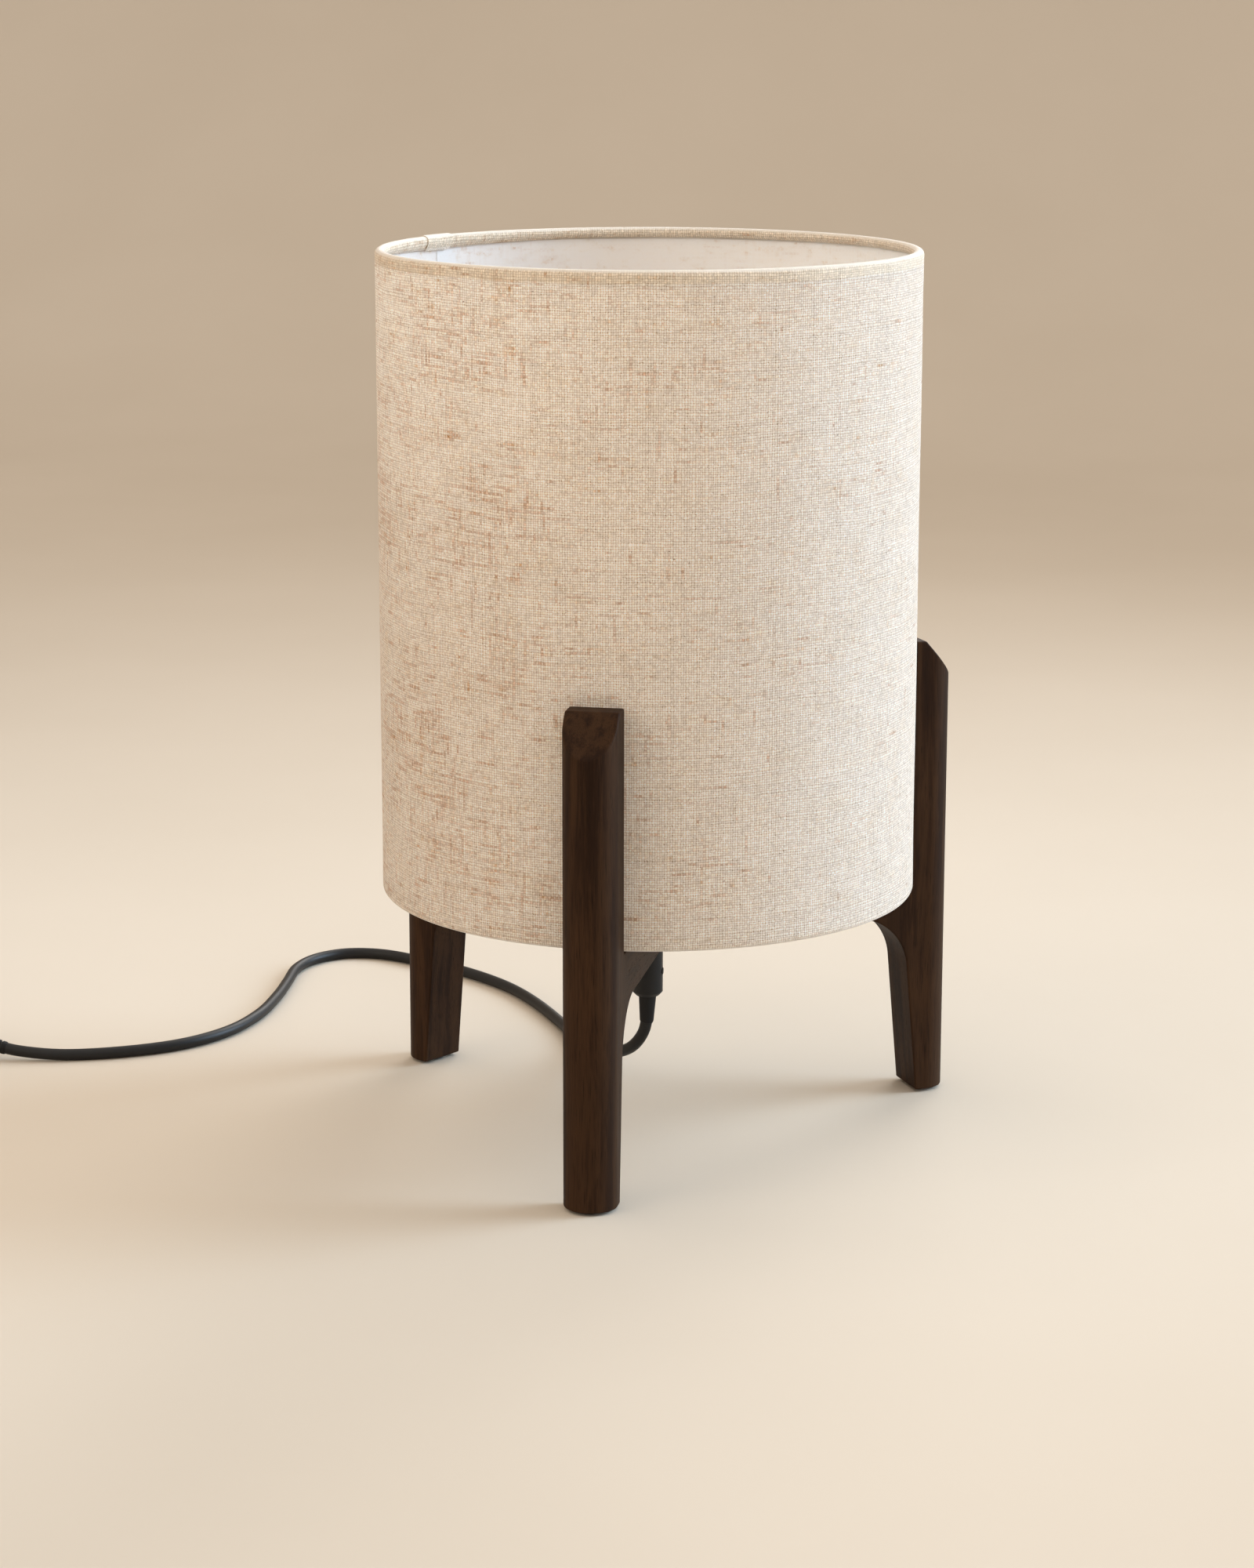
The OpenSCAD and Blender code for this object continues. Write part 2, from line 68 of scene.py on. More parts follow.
# ---------------------------------------------------------------- shader helpers
class Mat:
    """A small builder for node materials."""

    def __init__(self, name):
        self.m = bpy.data.materials.new(name)
        self.m.use_nodes = True
        self.t = self.m.node_tree
        self.t.nodes.clear()
        self.out = self.t.nodes.new("ShaderNodeOutputMaterial")

    def put(self, sock, v):
        if v is None:
            return
        if isinstance(v, bpy.types.NodeSocket):
            self.t.links.new(v, sock)
        else:
            if hasattr(sock.default_value, "__len__") and not hasattr(v, "__len__"):
                v = [v] * len(sock.default_value)
            if hasattr(sock.default_value, "__len__") and len(sock.default_value) == 4 and len(v) == 3:
                v = (*v, 1)
            sock.default_value = v

    def node(self, kind, **kw):
        n = self.t.nodes.new("ShaderNode" + kind)
        for k, v in kw.items():
            setattr(n, k, v)
        return n

    def math(self, op, a, b=None, c=None, clamp=False):
        n = self.node("Math", operation=op, use_clamp=clamp)
        for i, v in enumerate((a, b, c)):
            self.put(n.inputs[i], v)
        return n.outputs[0]

    def add(self, a, b):
        return self.math("ADD", a, b)

    def mul(self, a, b, clamp=False):
        return self.math("MULTIPLY", a, b, clamp=clamp)

    def vmath(self, op, a, b=None):
        n = self.node("VectorMath", operation=op)
        self.put(n.inputs[0], a)
        self.put(n.inputs[1], b)
        return n.outputs[0]

    def mixf(self, f, a, b):
        n = self.node("Mix", data_type="FLOAT")
        self.put(n.inputs[0], f), self.put(n.inputs[2], a), self.put(n.inputs[3], b)
        return n.outputs[0]

    def mixc(self, f, a, b, blend="MIX"):
        n = self.node("Mix", data_type="RGBA", blend_type=blend, clamp_factor=True)
        self.put(n.inputs[0], f), self.put(n.inputs[6], a), self.put(n.inputs[7], b)
        return n.outputs[2]

    def sep(self, v):
        n = self.node("SeparateXYZ")
        self.put(n.inputs[0], v)
        return n.outputs[0], n.outputs[1], n.outputs[2]

    def comb(self, x=0, y=0, z=0):
        n = self.node("CombineXYZ")
        for i, v in enumerate((x, y, z)):
            self.put(n.inputs[i], v)
        return n.outputs[0]

    def noise(self, vec, scale=1.0, detail=2.0, rough=0.5, dist=0.0, color=False):
        n = self.node("TexNoise", noise_dimensions="3D")
        self.put(n.inputs["Vector"], vec)
        self.put(n.inputs["Scale"], scale)
        self.put(n.inputs["Detail"], detail)
        self.put(n.inputs["Roughness"], rough)
        self.put(n.inputs["Distortion"], dist)
        return n.outputs[1 if color else 0]

    def rand(self, w):
        n = self.node("TexWhiteNoise", noise_dimensions="1D")
        self.put(n.inputs["W"], w)
        return n.outputs[0]

    def voronoi(self, vec, scale, feature="F1"):
        n = self.node("TexVoronoi", feature=feature)
        self.put(n.inputs["Vector"], vec)
        self.put(n.inputs["Scale"], scale)
        return n.outputs[0]

    def ramp(self, fac, stops, interp="LINEAR"):
        n = self.node("ValToRGB")
        n.color_ramp.interpolation = interp
        e = n.color_ramp.elements
        while len(e) < len(stops):
            e.new(0.5)
        for k, (p, c) in zip(e, stops):
            k.position = p
            k.color = (*c, 1) if len(c) == 3 else c
        self.put(n.inputs[0], fac)
        return n.outputs[0]

    def rng(self, v, a, b, c, d, smooth=False):
        n = self.node("MapRange", clamp=True, interpolation_type="SMOOTHSTEP" if smooth else "LINEAR")
        for i, x in enumerate((v, a, b, c, d)):
            self.put(n.inputs[i], x)
        return n.outputs[0]

    def bump(self, h, strength=0.3, dist=0.001, normal=None):
        n = self.node("Bump")
        self.put(n.inputs["Strength"], strength)
        self.put(n.inputs["Distance"], dist)
        self.put(n.inputs["Height"], h)
        self.put(n.inputs["Normal"], normal)
        return n.outputs[0]

    def coords(self, which="Object"):
        return self.node("TexCoord").outputs[which]

    def attr(self, name):
        return self.node("Attribute", attribute_name=name).outputs["Vector"]

    def principled(self, **kw):
        n = self.node("BsdfPrincipled")
        for k, v in kw.items():
            self.put(n.inputs[k.replace("_", " ")], v)
        return n.outputs[0]

    def mix_shader(self, f, a, b):
        n = self.node("MixShader")
        self.put(n.inputs[0], f), self.t.links.new(a, n.inputs[1]), self.t.links.new(b, n.inputs[2])
        return n.outputs[0]

    def done(self, shader):
        self.t.links.new(shader, self.out.inputs[0])
        return self.m


def srgb(r, g, b):
    return tuple(((c / 255 + 0.055) / 1.055) ** 2.4 if c > 10 else c / 255 / 12.92 for c in (r, g, b))


# ---------------------------------------------------------------- mesh helpers
def new_mesh(name, verts, faces, mats=(), smooth=True, uv=None, fmat=None, angle=None):
    me = bpy.data.meshes.new(name)
    me.from_pydata([tuple(v) for v in verts], [], [tuple(f) for f in faces])
    for m in mats:
        me.materials.append(m)
    if fmat is not None:
        me.polygons.foreach_set("material_index", np.asarray(fmat, np.int32))
    if uv is not None:
        layer = me.uv_layers.new(name="weave")
        layer.data.foreach_set("uv", np.asarray(uv, np.float32).ravel())
    me.update()
    if angle is not None:
        me.set_sharp_from_angle(angle=math.radians(angle))
    elif smooth:
        me.polygons.foreach_set("use_smooth", np.ones(len(me.polygons), bool))
    ob = bpy.data.objects.new(name, me)
    scene.collection.objects.link(ob)
    return ob


def fix_normals(ob):
    bm = bmesh.new()
    bm.from_mesh(ob.data)
    bmesh.ops.recalc_face_normals(bm, faces=bm.faces)
    bm.to_mesh(ob.data)
    bm.free()
    ob.data.update()
    return ob


def apply_mods(ob):
    dg = bpy.context.evaluated_depsgraph_get()
    me = bpy.data.meshes.new_from_object(ob.evaluated_get(dg), preserve_all_data_layers=True, depsgraph=dg)
    old = ob.data
    ob.modifiers.clear()
    ob.data = me
    bpy.data.meshes.remove(old)
    return ob


def revolve(name, prof, mats, n=192, fmat=None, angle=None, wob=None, start=0.0):
    """A closed profile of (r, z) in millimetres turned about Z. uv is (arc length round, length along the profile)."""
    prof = np.array(prof, float)
    k = len(prof)
    seg = np.linalg.norm(np.roll(prof, -1, 0) - prof, axis=1)
    run = np.r_[0, np.cumsum(seg)]
    th = np.arange(n) * 2 * np.pi / n + math.radians(start)
    verts = np.zeros((n, k, 3))
    for i, a in enumerate(th):
        r, z = prof[:, 0].copy(), prof[:, 1].copy()
        if wob is not None:
            r = r + wob(a, z)
        verts[i, :, 0] = r * math.cos(a)
        verts[i, :, 1] = r * math.sin(a)
        verts[i, :, 2] = z
    faces, uv, fm = [], [], []
    rr = prof[:, 0].max()
    for i in range(n):
        j = (i + 1) % n
        for q in range(k):
            p = (q + 1) % k
            if prof[q, 0] < 1e-9 and prof[p, 0] < 1e-9:
                continue
            faces.append((i * k + q, j * k + q, j * k + p, i * k + p))
            u0, u1 = i * 2 * np.pi / n * rr * S, (i + 1) * 2 * np.pi / n * rr * S
            uv += [(u0, run[q] * S), (u1, run[q] * S), (u1, run[q + 1] * S), (u0, run[q + 1] * S)]
            if fmat is not None:
                fm.append(fmat[q])
    ob = new_mesh(name, verts.reshape(-1, 3) * S, faces, mats, uv=uv, fmat=fm if fmat is not None else None, angle=angle)
    bm = bmesh.new()
    bm.from_mesh(ob.data)
    bmesh.ops.remove_doubles(bm, verts=bm.verts, dist=1e-6)
    bmesh.ops.recalc_face_normals(bm, faces=bm.faces)
    bm.to_mesh(ob.data)
    bm.free()
    return ob


def catmull(p, k):
    p = [Vector(x) for x in p]
    out = []
    for i in range(len(p) - 1):
        a, b, c, d = p[max(i - 1, 0)], p[i], p[i + 1], p[min(i + 2, len(p) - 1)]
        for j in range(k):
            t = j / k
            out.append(0.5 * (2 * b + (c - a) * t + (2 * a - 5 * b + 4 * c - d) * t * t + (3 * b - a - 3 * c + d) * t ** 3))
    out.append(p[-1])
    return out


# ---------------------------------------------------------------- the lead, along part.scad's route
RUN = [[0, 0, 60], [0, 0, 52], [0, 0, 44], [-2, 1, 35], [-8, 5, 27], [-18, 15, 21], [-28, 34, 15], [-37, 58, 9],
       [-46, 84, 4], [-59, 113, 2.5], [-78, 145, 2.5], [-97, 170, 2.5], [-121, 191, 2.5], [-148, 207, 2.5],
       [-170, 216, 2.5], [-188, 214, 2.5], [-200, 201, 2.5], [-204, 183, 2.5], [-202, 160, 2.5], [-200, 135, 2.5],
       [-200, 105, 2.5], [-206, 76, 2.5], [-220, 53, 2.5], [-241, 37, 2.5], [-266, 27, 2.5], [-287, 24, 4],
       [-302, 24, 7], [-312, 24, 8.5]]
LINK = [[-372, 24, 8.5], [-382, 24, 8], [-394, 24, 5.5], [-404, 24, 3.8], [-411, 24, 3.3]]
TAIL = [[-424, -45, 8.3], [-416, -45, 8], [-406, -45, 7.4], [-396, -45, 7]]
COIL_C, COIL_R, CORD_D = (-425, -10.5), 29.5, 5.0
PLUG = (-398, -45, 7)
SWITCH = (-342, 24)


def ease(x):
    x = min(max(x, 0), 1)
    return x * x * (3 - 2 * x)


def coil_points():
    radii = [COIL_R + 5, COIL_R, COIL_R - 5, COIL_R - 5, COIL_R, COIL_R + 5]
    pts = []
    turns = 5.5
    steps = int(turns * 48)
    for i in range(1, steps + 1):
        t = i / 48
        k = min(int(t), 5)
        u = t - k
        r = radii[k]
        if k < 5:
            r += (radii[k + 1] - radii[k]) * ease((u - 0.80) / 0.16)
        z = 3.3 + 5.0 * ease((t - 2.62) / 0.2)
        a = math.radians(90 + 360 * t)
        pts.append(Vector((COIL_C[0] + r * math.cos(a), COIL_C[1] + r * math.sin(a), z)))
    return pts


def lead():
    run = catmull(RUN[1:], 8)
    thru = [Vector(RUN[-1]).lerp(Vector(LINK[0]), j / 12) - Vector((0, 0, 0.45 * math.sin(math.pi * j / 12))) for j in range(1, 12)]
    link = catmull(LINK, 5)
    coil = coil_points()
    tail = catmull(TAIL, 4)
    pts = run + thru + link + [Vector((-418, 24, 3.3))] + [Vector((-425, 24, 3.3))] + coil[:-1] + tail + [Vector((-390, -45, 7)), Vector((-374, -45, 7))]
    cu = bpy.data.curves.new("lead", "CURVE")
    cu.dimensions = "3D"
    sp = cu.splines.new("POLY")
    sp.points.add(len(pts) - 1)
    for q, p in zip(sp.points, pts):
        q.co = (*(p * S), 1)
    cu.bevel_depth = CORD_D / 2 * S
    cu.bevel_resolution = 5
    cu.use_fill_caps = True
    ob = bpy.data.objects.new("lead", cu)
    scene.collection.objects.link(ob)
    length = sum((b - a).length for a, b in zip(pts, pts[1:]))
    print("lead length mm", round(length, 1), "points", len(pts))
    return ob


lead_ob = lead()


# ---------------------------------------------------------------- materials
def linen_mat(name, tone=1.0, see=0.42, film=False):
    """Plain-weave linen. UVs are metres of cloth; about one thread to a millimetre, with slubs, specks, painted shade
    in the gaps and painted highlights on the thread crests.
    With film, the same cloth as it shows through the white film on its back."""
    k = Mat(name)
    uvn = k.node("UVMap", uv_map="weave")
    u, v, _ = k.sep(uvn.outputs[0])
    U0, V0 = k.mul(u, 1005.0), k.mul(v, 1065.0)
    half = lambda x: k.math("SUBTRACT", x, 0.5)
    # threads bunch here and there, and the weft wanders gently
    wu = k.noise(k.comb(k.mul(U0, 0.31), k.mul(V0, 0.012), 1.7), 1, 2, 0.6)
    wv = k.noise(k.comb(k.mul(U0, 0.012), k.mul(V0, 0.31), 9.1), 1, 2, 0.6)
    sway = k.noise(k.comb(k.mul(U0, 0.017), k.mul(V0, 0.006), 4.4), 1, 2, 0.5)
    fray = k.noise(k.comb(k.mul(U0, 0.75), k.mul(V0, 0.75), 12.0), 1, 2, 0.6, color=True)
    fx, fy, _ = k.sep(fray)
    U = k.add(k.add(U0, k.mul(half(wu), 1.5)), k.mul(half(fx), 0.85))
    V = k.add(k.add(k.add(V0, k.mul(half(wv), 1.8)), k.mul(half(sway), 3.0)), k.mul(half(fy), 0.85))
    iu, iv = k.math("FLOOR", U), k.math("FLOOR", V)
    fu, fv = half(k.math("FRACT", U)), half(k.math("FRACT", V))
    sgn = k.math("MULTIPLY_ADD", k.math("FLOORED_MODULO", k.add(iu, iv), 2.0), -2.0, 1.0)
    ru, rv = k.rand(k.mul(iu, 1.37)), k.rand(k.math("MULTIPLY_ADD", iv, 1.91, 300.0))
    # slubs: stretches of a thread that are thicker and browner; the weft has more of them
    su = k.noise(k.comb(k.mul(iu, 7.31), k.mul(V, 0.10), 0.0), 1, 2, 0.5)
    sv = k.noise(k.comb(k.mul(U, 0.075), k.mul(iv, 7.31), 40.0), 1, 2, 0.5)
    lv = k.noise(k.comb(k.mul(U, 0.035), k.mul(iv, 5.17), 60.0), 1, 2, 0.55)
    here = k.mul(half(k.noise(k.comb(k.mul(U, 0.016), k.mul(V, 0.020), 33.0), 1, 2, 0.5)), 0.24)
    # the bolt is rougher near its overlap than half way round
    rough = k.add(k.rng(u, 0.15, 0.33, 0.022, -0.055, True), k.rng(u, 0.45, 0.62, 0, 0.07, True))
    here = k.add(here, rough)
    lu = k.noise(k.comb(k.mul(iu, 5.17), k.mul(V, 0.040), 70.0), 1, 2, 0.55)
    slub_u = k.math("MAXIMUM", k.rng(k.add(su, here), 0.61, 0.75, 0, 1, True), k.rng(k.add(lu, here), 0.60, 0.74, 0, 0.7, True))
    slub_v = k.math("MAXIMUM", k.rng(k.add(sv, here), 0.59, 0.73, 0, 1, True), k.rng(k.add(lv, here), 0.60, 0.74, 0, 0.8, True))
    hwu = k.add(k.math("MULTIPLY_ADD", ru, 0.16, 0.325), k.mul(slub_u, 0.10))
    hwv = k.add(k.math("MULTIPLY_ADD", rv, 0.14, 0.350), k.mul(slub_v, 0.12))

    def dome(f, hw):
        x = k.math("DIVIDE", f, hw)
        return k.math("SQRT", k.math("MAXIMUM", k.math("SUBTRACT", 1.0, k.mul(x, x)), 0.0))

    pu, pv = dome(fu, hwu), dome(fv, hwv)
    cu_, cv_ = k.math("COSINE", k.mul(fv, math.pi)), k.math("COSINE", k.mul(fu, math.pi))
    on_u, on_v = k.math("GREATER_THAN", pu, 0.02), k.math("GREATER_THAN", pv, 0.02)
    zu = k.math("SUBTRACT", k.mul(on_u, k.add(k.add(k.mul(pu, 0.55), k.mul(k.mul(sgn, cu_), 0.42)), 0.6)), 0.6)
    zv = k.math("SUBTRACT", k.mul(on_v, k.add(k.add(k.mul(pv, 0.55), k.mul(k.mul(sgn, cv_), -0.42)), 0.6)), 0.6)
    h = k.math("MAXIMUM", zu, zv)
    up = k.math("GREATER_THAN", zu, zv)
    # clouds of a browner batch, small flecks of bark, and fine fibre along each thread
    cloud = k.noise(k.comb(k.mul(U, 0.045), k.mul(V, 0.060), 5.0), 1, 4, 0.66)
    spot = k.noise(k.comb(k.mul(U, 0.20), k.mul(V, 0.26), 15.0), 1, 2, 0.5)
    fleck = k.rng(k.noise(k.comb(k.mul(U, 0.55), k.mul(V, 0.62), 25.0), 1, 2, 0.6), 0.70, 0.76, 0, 1)
    fibre = k.noise(k.comb(k.mul(U, 2.3), k.mul(V, 2.3), 2.0), 1, 3, 0.65)
    t = k.mixf(up, k.add(k.mul(rv, 0.34), k.mul(half(sv), 0.5)), k.add(k.mul(ru, 0.30), k.mul(half(su), 0.4)))
    # browner stretches shared by a few neighbouring threads
    blot_v = k.noise(k.comb(k.mul(U, 0.11), k.mul(iv, 0.40), 71.0), 1, 3, 0.68)
    blot_u = k.noise(k.comb(k.mul(iu, 0.40), k.mul(V, 0.11), 81.0), 1, 3, 0.68)
    blot = k.math("MAXIMUM", blot_v, k.mul(blot_u, 0.97)) if not film else spot
    t = k.add(t, k.add(k.mul(half(cloud), 1.15), k.mul(half(spot), 0.5)))
    t = k.add(t, k.rng(k.add(blot, k.mul(here, 0.8)), 0.52, 0.74, -0.06, 0.44))
    t = k.add(t, k.mul(half(fibre), 0.35))
    base = k.ramp(t, [(0.0, srgb(252, 248, 244)), (0.30, srgb(249, 243, 236)), (0.55, srgb(242, 232, 220)), (0.80, srgb(222, 191, 157)), (1.0, srgb(191, 145, 99))])
    # now and then a bleached, fuller thread runs a long way
    pale_u = k.rng(k.noise(k.comb(k.mul(iu, 3.71), k.mul(V, 0.010), 110.0), 1, 2, 0.5), 0.62, 0.72, 0, 1, True)
    pale_v = k.rng(k.noise(k.comb(k.mul(U, 0.010), k.mul(iv, 3.71), 120.0), 1, 2, 0.5), 0.62, 0.72, 0, 1, True)
    pale = k.mixf(up, pale_v, pale_u)
    base = k.mixc(k.mul(pale, 0.7), base, srgb(253, 251, 248))
    both = k.math("MAXIMUM", slub_u, slub_v)
    slub = k.mul(k.add(k.mul(k.mixf(up, slub_v, slub_u), 0.5), k.mul(both, 0.5)), k.rng(fibre, 0.3, 0.7, 0.5, 1.0))
    base = k.mixc(k.mul(slub, 0.34 if film else 0.80), base, srgb(188, 132, 76))
    base = k.mixc(k.mul(fleck, 0.15 if film else 0.65), base, srgb(124, 88, 54))
    if film:
        col = k.mixc(0.56, base, (0.955, 0.96, 0.975))
        nrm = k.bump(k.noise(k.coords(), 700, 2, 0.5), 0.10, 0.0002)
        p = k.principled(Base_Color=col, Roughness=0.5, Specular_IOR_Level=0.30, Normal=nrm)
        tr = k.node("BsdfTranslucent")
        k.put(tr.inputs["Color"], col)
        return k.done(k.mix_shader(see, p, tr.outputs[0]))
    # painted shade and highlight: thread height sets a colour multiplier, dark brown in the gaps between threads and
    # above one on the crests
    gap = k.rng(h, -0.55, 0.96, 0.0, 1.0)
    gap_shade_crest_highlight = k.ramp(gap, [(0.0, (0.30, 0.195, 0.10)), (0.40, (0.53, 0.405, 0.27)), (0.66, (0.86, 0.79, 0.69)), (0.84, (0.99, 0.965, 0.935)), (1.0, (1.13, 1.12, 1.10))])
    # no two gaps are equally open, and no two crossings equally full: the painted gap shade and crest highlight vary
    # from one thread to the next
    hole = k.rand(k.math("MULTIPLY_ADD", k.math("FLOOR", k.add(V, 0.5)), 57.31, k.math("FLOOR", k.add(U, 0.5))))
    full = k.rand(k.math("MULTIPLY_ADD", iv, 71.7, k.add(iu, 0.37)))
    gap_shade_crest_highlight = k.mixc(k.mul(k.rng(hole, 0.25, 0.95, 0.95, 0.0), k.rng(gap, 0.3, 0.75, 1, 0)), gap_shade_crest_highlight, (0.90, 0.85, 0.79))
    col = k.mixc(1.0, base, gap_shade_crest_highlight, "MULTIPLY")
    # painted highlight: the fullest crests are lifted brighter still, on top of the random fullness and the bleached
    # threads
    fullness_and_crest_highlight = k.add(k.add(k.math("MULTIPLY_ADD", full, 0.20, 0.885), k.mul(pale, 0.07)), k.mul(k.mul(k.rng(gap, 0.86, 1.0, 0, 1), full), 0.14))
    col = k.vmath("MULTIPLY", col, k.comb(fullness_and_crest_highlight, fullness_and_crest_highlight, fullness_and_crest_highlight))
    if tone != 1.0:
        col = k.mixc(1.0, col, (tone, tone * 0.985, tone * 0.96), "MULTIPLY")
    nrm = k.bump(h, 0.50, 0.00022, k.bump(k.add(fibre, spot), 0.12, 0.0002))
    # where the cloth is turned in over the rims it is doubled, so less light comes through; the doubled band's base
    # colour is also darkened as painted shade, and the rolled rim is lightened as a painted highlight
    z = k.sep(k.coords())[2]
    edge = k.math("ABSOLUTE", k.math("SUBTRACT", k.add(z, k.mul(half(cloud), 0.0012)), 0.2315))
    doubled_cloth_and_painted_shade = k.mul(k.rng(edge, 0.1258, 0.1267, 0, 1, True), k.rng(z, 0.22, 0.24, 0.22, 1))
    # painted highlight: the rolled rim edge is lightened towards white
    col = k.mixc(k.rng(edge, 0.1302, 0.1309, 0, 0.8, True), col, (0.99, 0.97, 0.945))
    # painted shade: the doubled band's base colour is multiplied darker; its translucent share is cut at the end as
    # well
    p = k.principled(Base_Color=k.mixc(k.mul(doubled_cloth_and_painted_shade, 0.9), col, k.mixc(1.0, col, (0.76, 0.70, 0.61), "MULTIPLY")), Roughness=0.92,
                     Specular_IOR_Level=0.18, Sheen_Weight=0.25, Sheen_Roughness=0.5, Normal=nrm)
    tr = k.node("BsdfTranslucent")
    k.put(tr.inputs["Color"], k.mixc(1.0, col, (1.0, 0.95, 0.88), "MULTIPLY"))
    k.put(tr.inputs["Normal"], nrm)
    return k.done(k.mix_shader(k.math("MULTIPLY_ADD", doubled_cloth_and_painted_shade, -0.92 * see, see), p, tr.outputs[0]))


def film_mat(name, color, see, bump=0.1):
    """The white lining film: faint calender marks and a soft sheen."""
    k = Mat(name)
    o = k.coords()
    n = k.noise(o, 60, 3, 0.6)
    n2 = k.noise(k.vmath("MULTIPLY", o, (1, 1, 0.05)), 900, 2, 0.6)
    col = k.mixc(k.rng(n, 0.3, 0.7, 0, 0.5), color, tuple(c * 0.93 for c in color))
    nrm = k.bump(k.add(n, n2), bump, 0.0004)
    p = k.principled(Base_Color=col, Roughness=0.55, Specular_IOR_Level=0.35, Normal=nrm)
    tr = k.node("BsdfTranslucent")
    k.put(tr.inputs["Color"], col)
    return k.done(k.mix_shader(see, p, tr.outputs[0]))


def wood_mat(name):
    """Dark stained walnut in leg coordinates (metres: outwards, across, up); grain runs up the leg and out along the arm."""
    k = Mat(name)
    x, y, z = k.sep(k.attr("lc"))
    arm = k.rng(x, 0.104, 0.110, 1, 0)
    g_leg = k.comb(k.mul(x, 1.0), k.mul(y, 1.0), k.mul(z, 0.045))
    g_arm = k.comb(k.mul(x, 0.045), k.mul(y, 1.0), k.math("MULTIPLY_ADD", z, 1.0, 0.3))
    mixn = k.node("Mix", data_type="VECTOR")
    k.put(mixn.inputs[0], arm), k.put(mixn.inputs[4], g_leg), k.put(mixn.inputs[5], g_arm)
    g = mixn.outputs[1]
    wave = k.noise(k.vmath("MULTIPLY", k.attr("lc"), (18, 18, 9)), 1, 3, 0.5)
    g2 = k.vmath("ADD", g, k.comb(k.mul(wave, 0.004), k.mul(wave, 0.006), 0))
    rings = k.noise(g2, 210, 3, 0.55, 0.4)
    fine = k.noise(g2, 1500, 4, 0.7)
    pores = k.noise(k.vmath("MULTIPLY", g2, (1, 1, 0.55)), 3300, 2, 0.5)
    pore = k.rng(pores, 0.60, 0.70, 0, 1)
    blot = k.noise(k.attr("lc"), 22, 3, 0.6)
    t = k.add(k.mul(rings, 0.75), k.mul(fine, 0.35))
    col = k.ramp(t, [(0.28, srgb(26, 14, 7)), (0.48, srgb(42, 25, 13)), (0.62, srgb(61, 40, 23)), (0.80, srgb(36, 21, 11))])
    col = k.mixc(k.rng(blot, 0.35, 0.7, 0, 0.35), col, srgb(27, 15, 9))
    col = k.mixc(k.mul(pore, 0.65), col, srgb(14, 8, 5))
    # handled edges carry slightly less stain
    geo = k.node("NewGeometry")
    edge = k.rng(geo.outputs["Pointiness"], 0.515, 0.60, 0, 1)
    col = k.mixc(k.mul(edge, 0.35), col, srgb(84, 58, 40))
    rough = k.add(k.add(0.47, k.mul(fine, 0.16)), k.mul(pore, 0.18))
    nrm = k.bump(k.math("SUBTRACT", k.mul(t, 0.5), k.mul(pore, 0.5)), 0.16, 0.0003)
    return k.done(k.principled(Base_Color=col, Roughness=rough, Specular_IOR_Level=0.08, Normal=nrm))


def plastic_mat(name, color, rough=0.5, grain=1500, depth=0.10, spec=0.4, scuff=0.35):
    """Moulded plastic: fine spark texture, slightly uneven gloss, dust and scuffs in places."""
    k = Mat(name)
    o = k.coords()
    cells = k.voronoi(o, grain)
    n = k.noise(o, 45, 4, 0.6)
    s = k.noise(k.vmath("MULTIPLY", o, (260, 260, 900)), 1, 3, 0.7)
    col = k.mixc(k.rng(n, 0.35, 0.75, 0, scuff), color, tuple(min(1, c * 1.7 + 0.012) for c in color))
    col = k.mixc(k.rng(s, 0.68, 0.8, 0, 0.35), col, tuple(min(1, c * 2.2 + 0.02) for c in color))
    r = k.add(rough - 0.06, k.mul(n, 0.14))
    return k.done(k.principled(Base_Color=col, Roughness=r, Specular_IOR_Level=spec, Normal=k.bump(k.add(cells, k.mul(n, 0.3)), depth, 0.0002)))


def metal_mat(name, color, rough=0.3, axis=(1, 1, 12), tarnish=0.3, scale=500):
    """Turned, drawn or plated metal with fine tool marks and a little tarnish."""
    k = Mat(name)
    o = k.coords()
    lines = k.noise(k.vmath("MULTIPLY", o, axis), scale, 3, 0.6)
    spots = k.noise(o, 160, 4, 0.65)
    col = k.mixc(k.rng(spots, 0.45, 0.8, 0, tarnish), color, tuple(c * 0.55 for c in color))
    col = k.mixc(k.rng(lines, 0.3, 0.7, 0, 0.18), col, tuple(min(1, c * 1.15) for c in color))
    r = k.add(rough, k.add(k.mul(lines, 0.12), k.mul(k.rng(spots, 0.5, 0.8, 0, 1), 0.15)))
    return k.done(k.principled(Base_Color=col, Metallic=1.0, Roughness=r, Normal=k.bump(lines, 0.12, 0.0001)))


def paint_mat(name, color, rough=0.5, peel=700):
    """Powder coat: fine orange peel and soft variation."""
    k = Mat(name)
    o = k.coords()
    n = k.noise(o, peel, 3, 0.5)
    v = k.noise(o, 40, 3, 0.6)
    col = k.mixc(k.rng(v, 0.3, 0.75, 0, 0.5), color, tuple(min(1, c * 0.86 + 0.004) for c in color))
    return k.done(k.principled(Base_Color=col, Roughness=k.add(rough, k.mul(v, 0.12)), Normal=k.bump(n, 0.18, 0.00015)))


def glass_mat(name, rough=0.02, tint=(0.98, 0.99, 1.0)):
    k = Mat(name)
    o = k.coords()
    n = k.noise(o, 30, 2, 0.5)
    col = k.mixc(k.rng(n, 0.3, 0.7, 0, 1), tint, tuple(c * 0.985 for c in tint))
    p = k.principled(Base_Color=col, Roughness=rough, IOR=1.46, Transmission_Weight=1.0, Normal=k.bump(n, 0.03, 0.0005))
    return k.done(p)


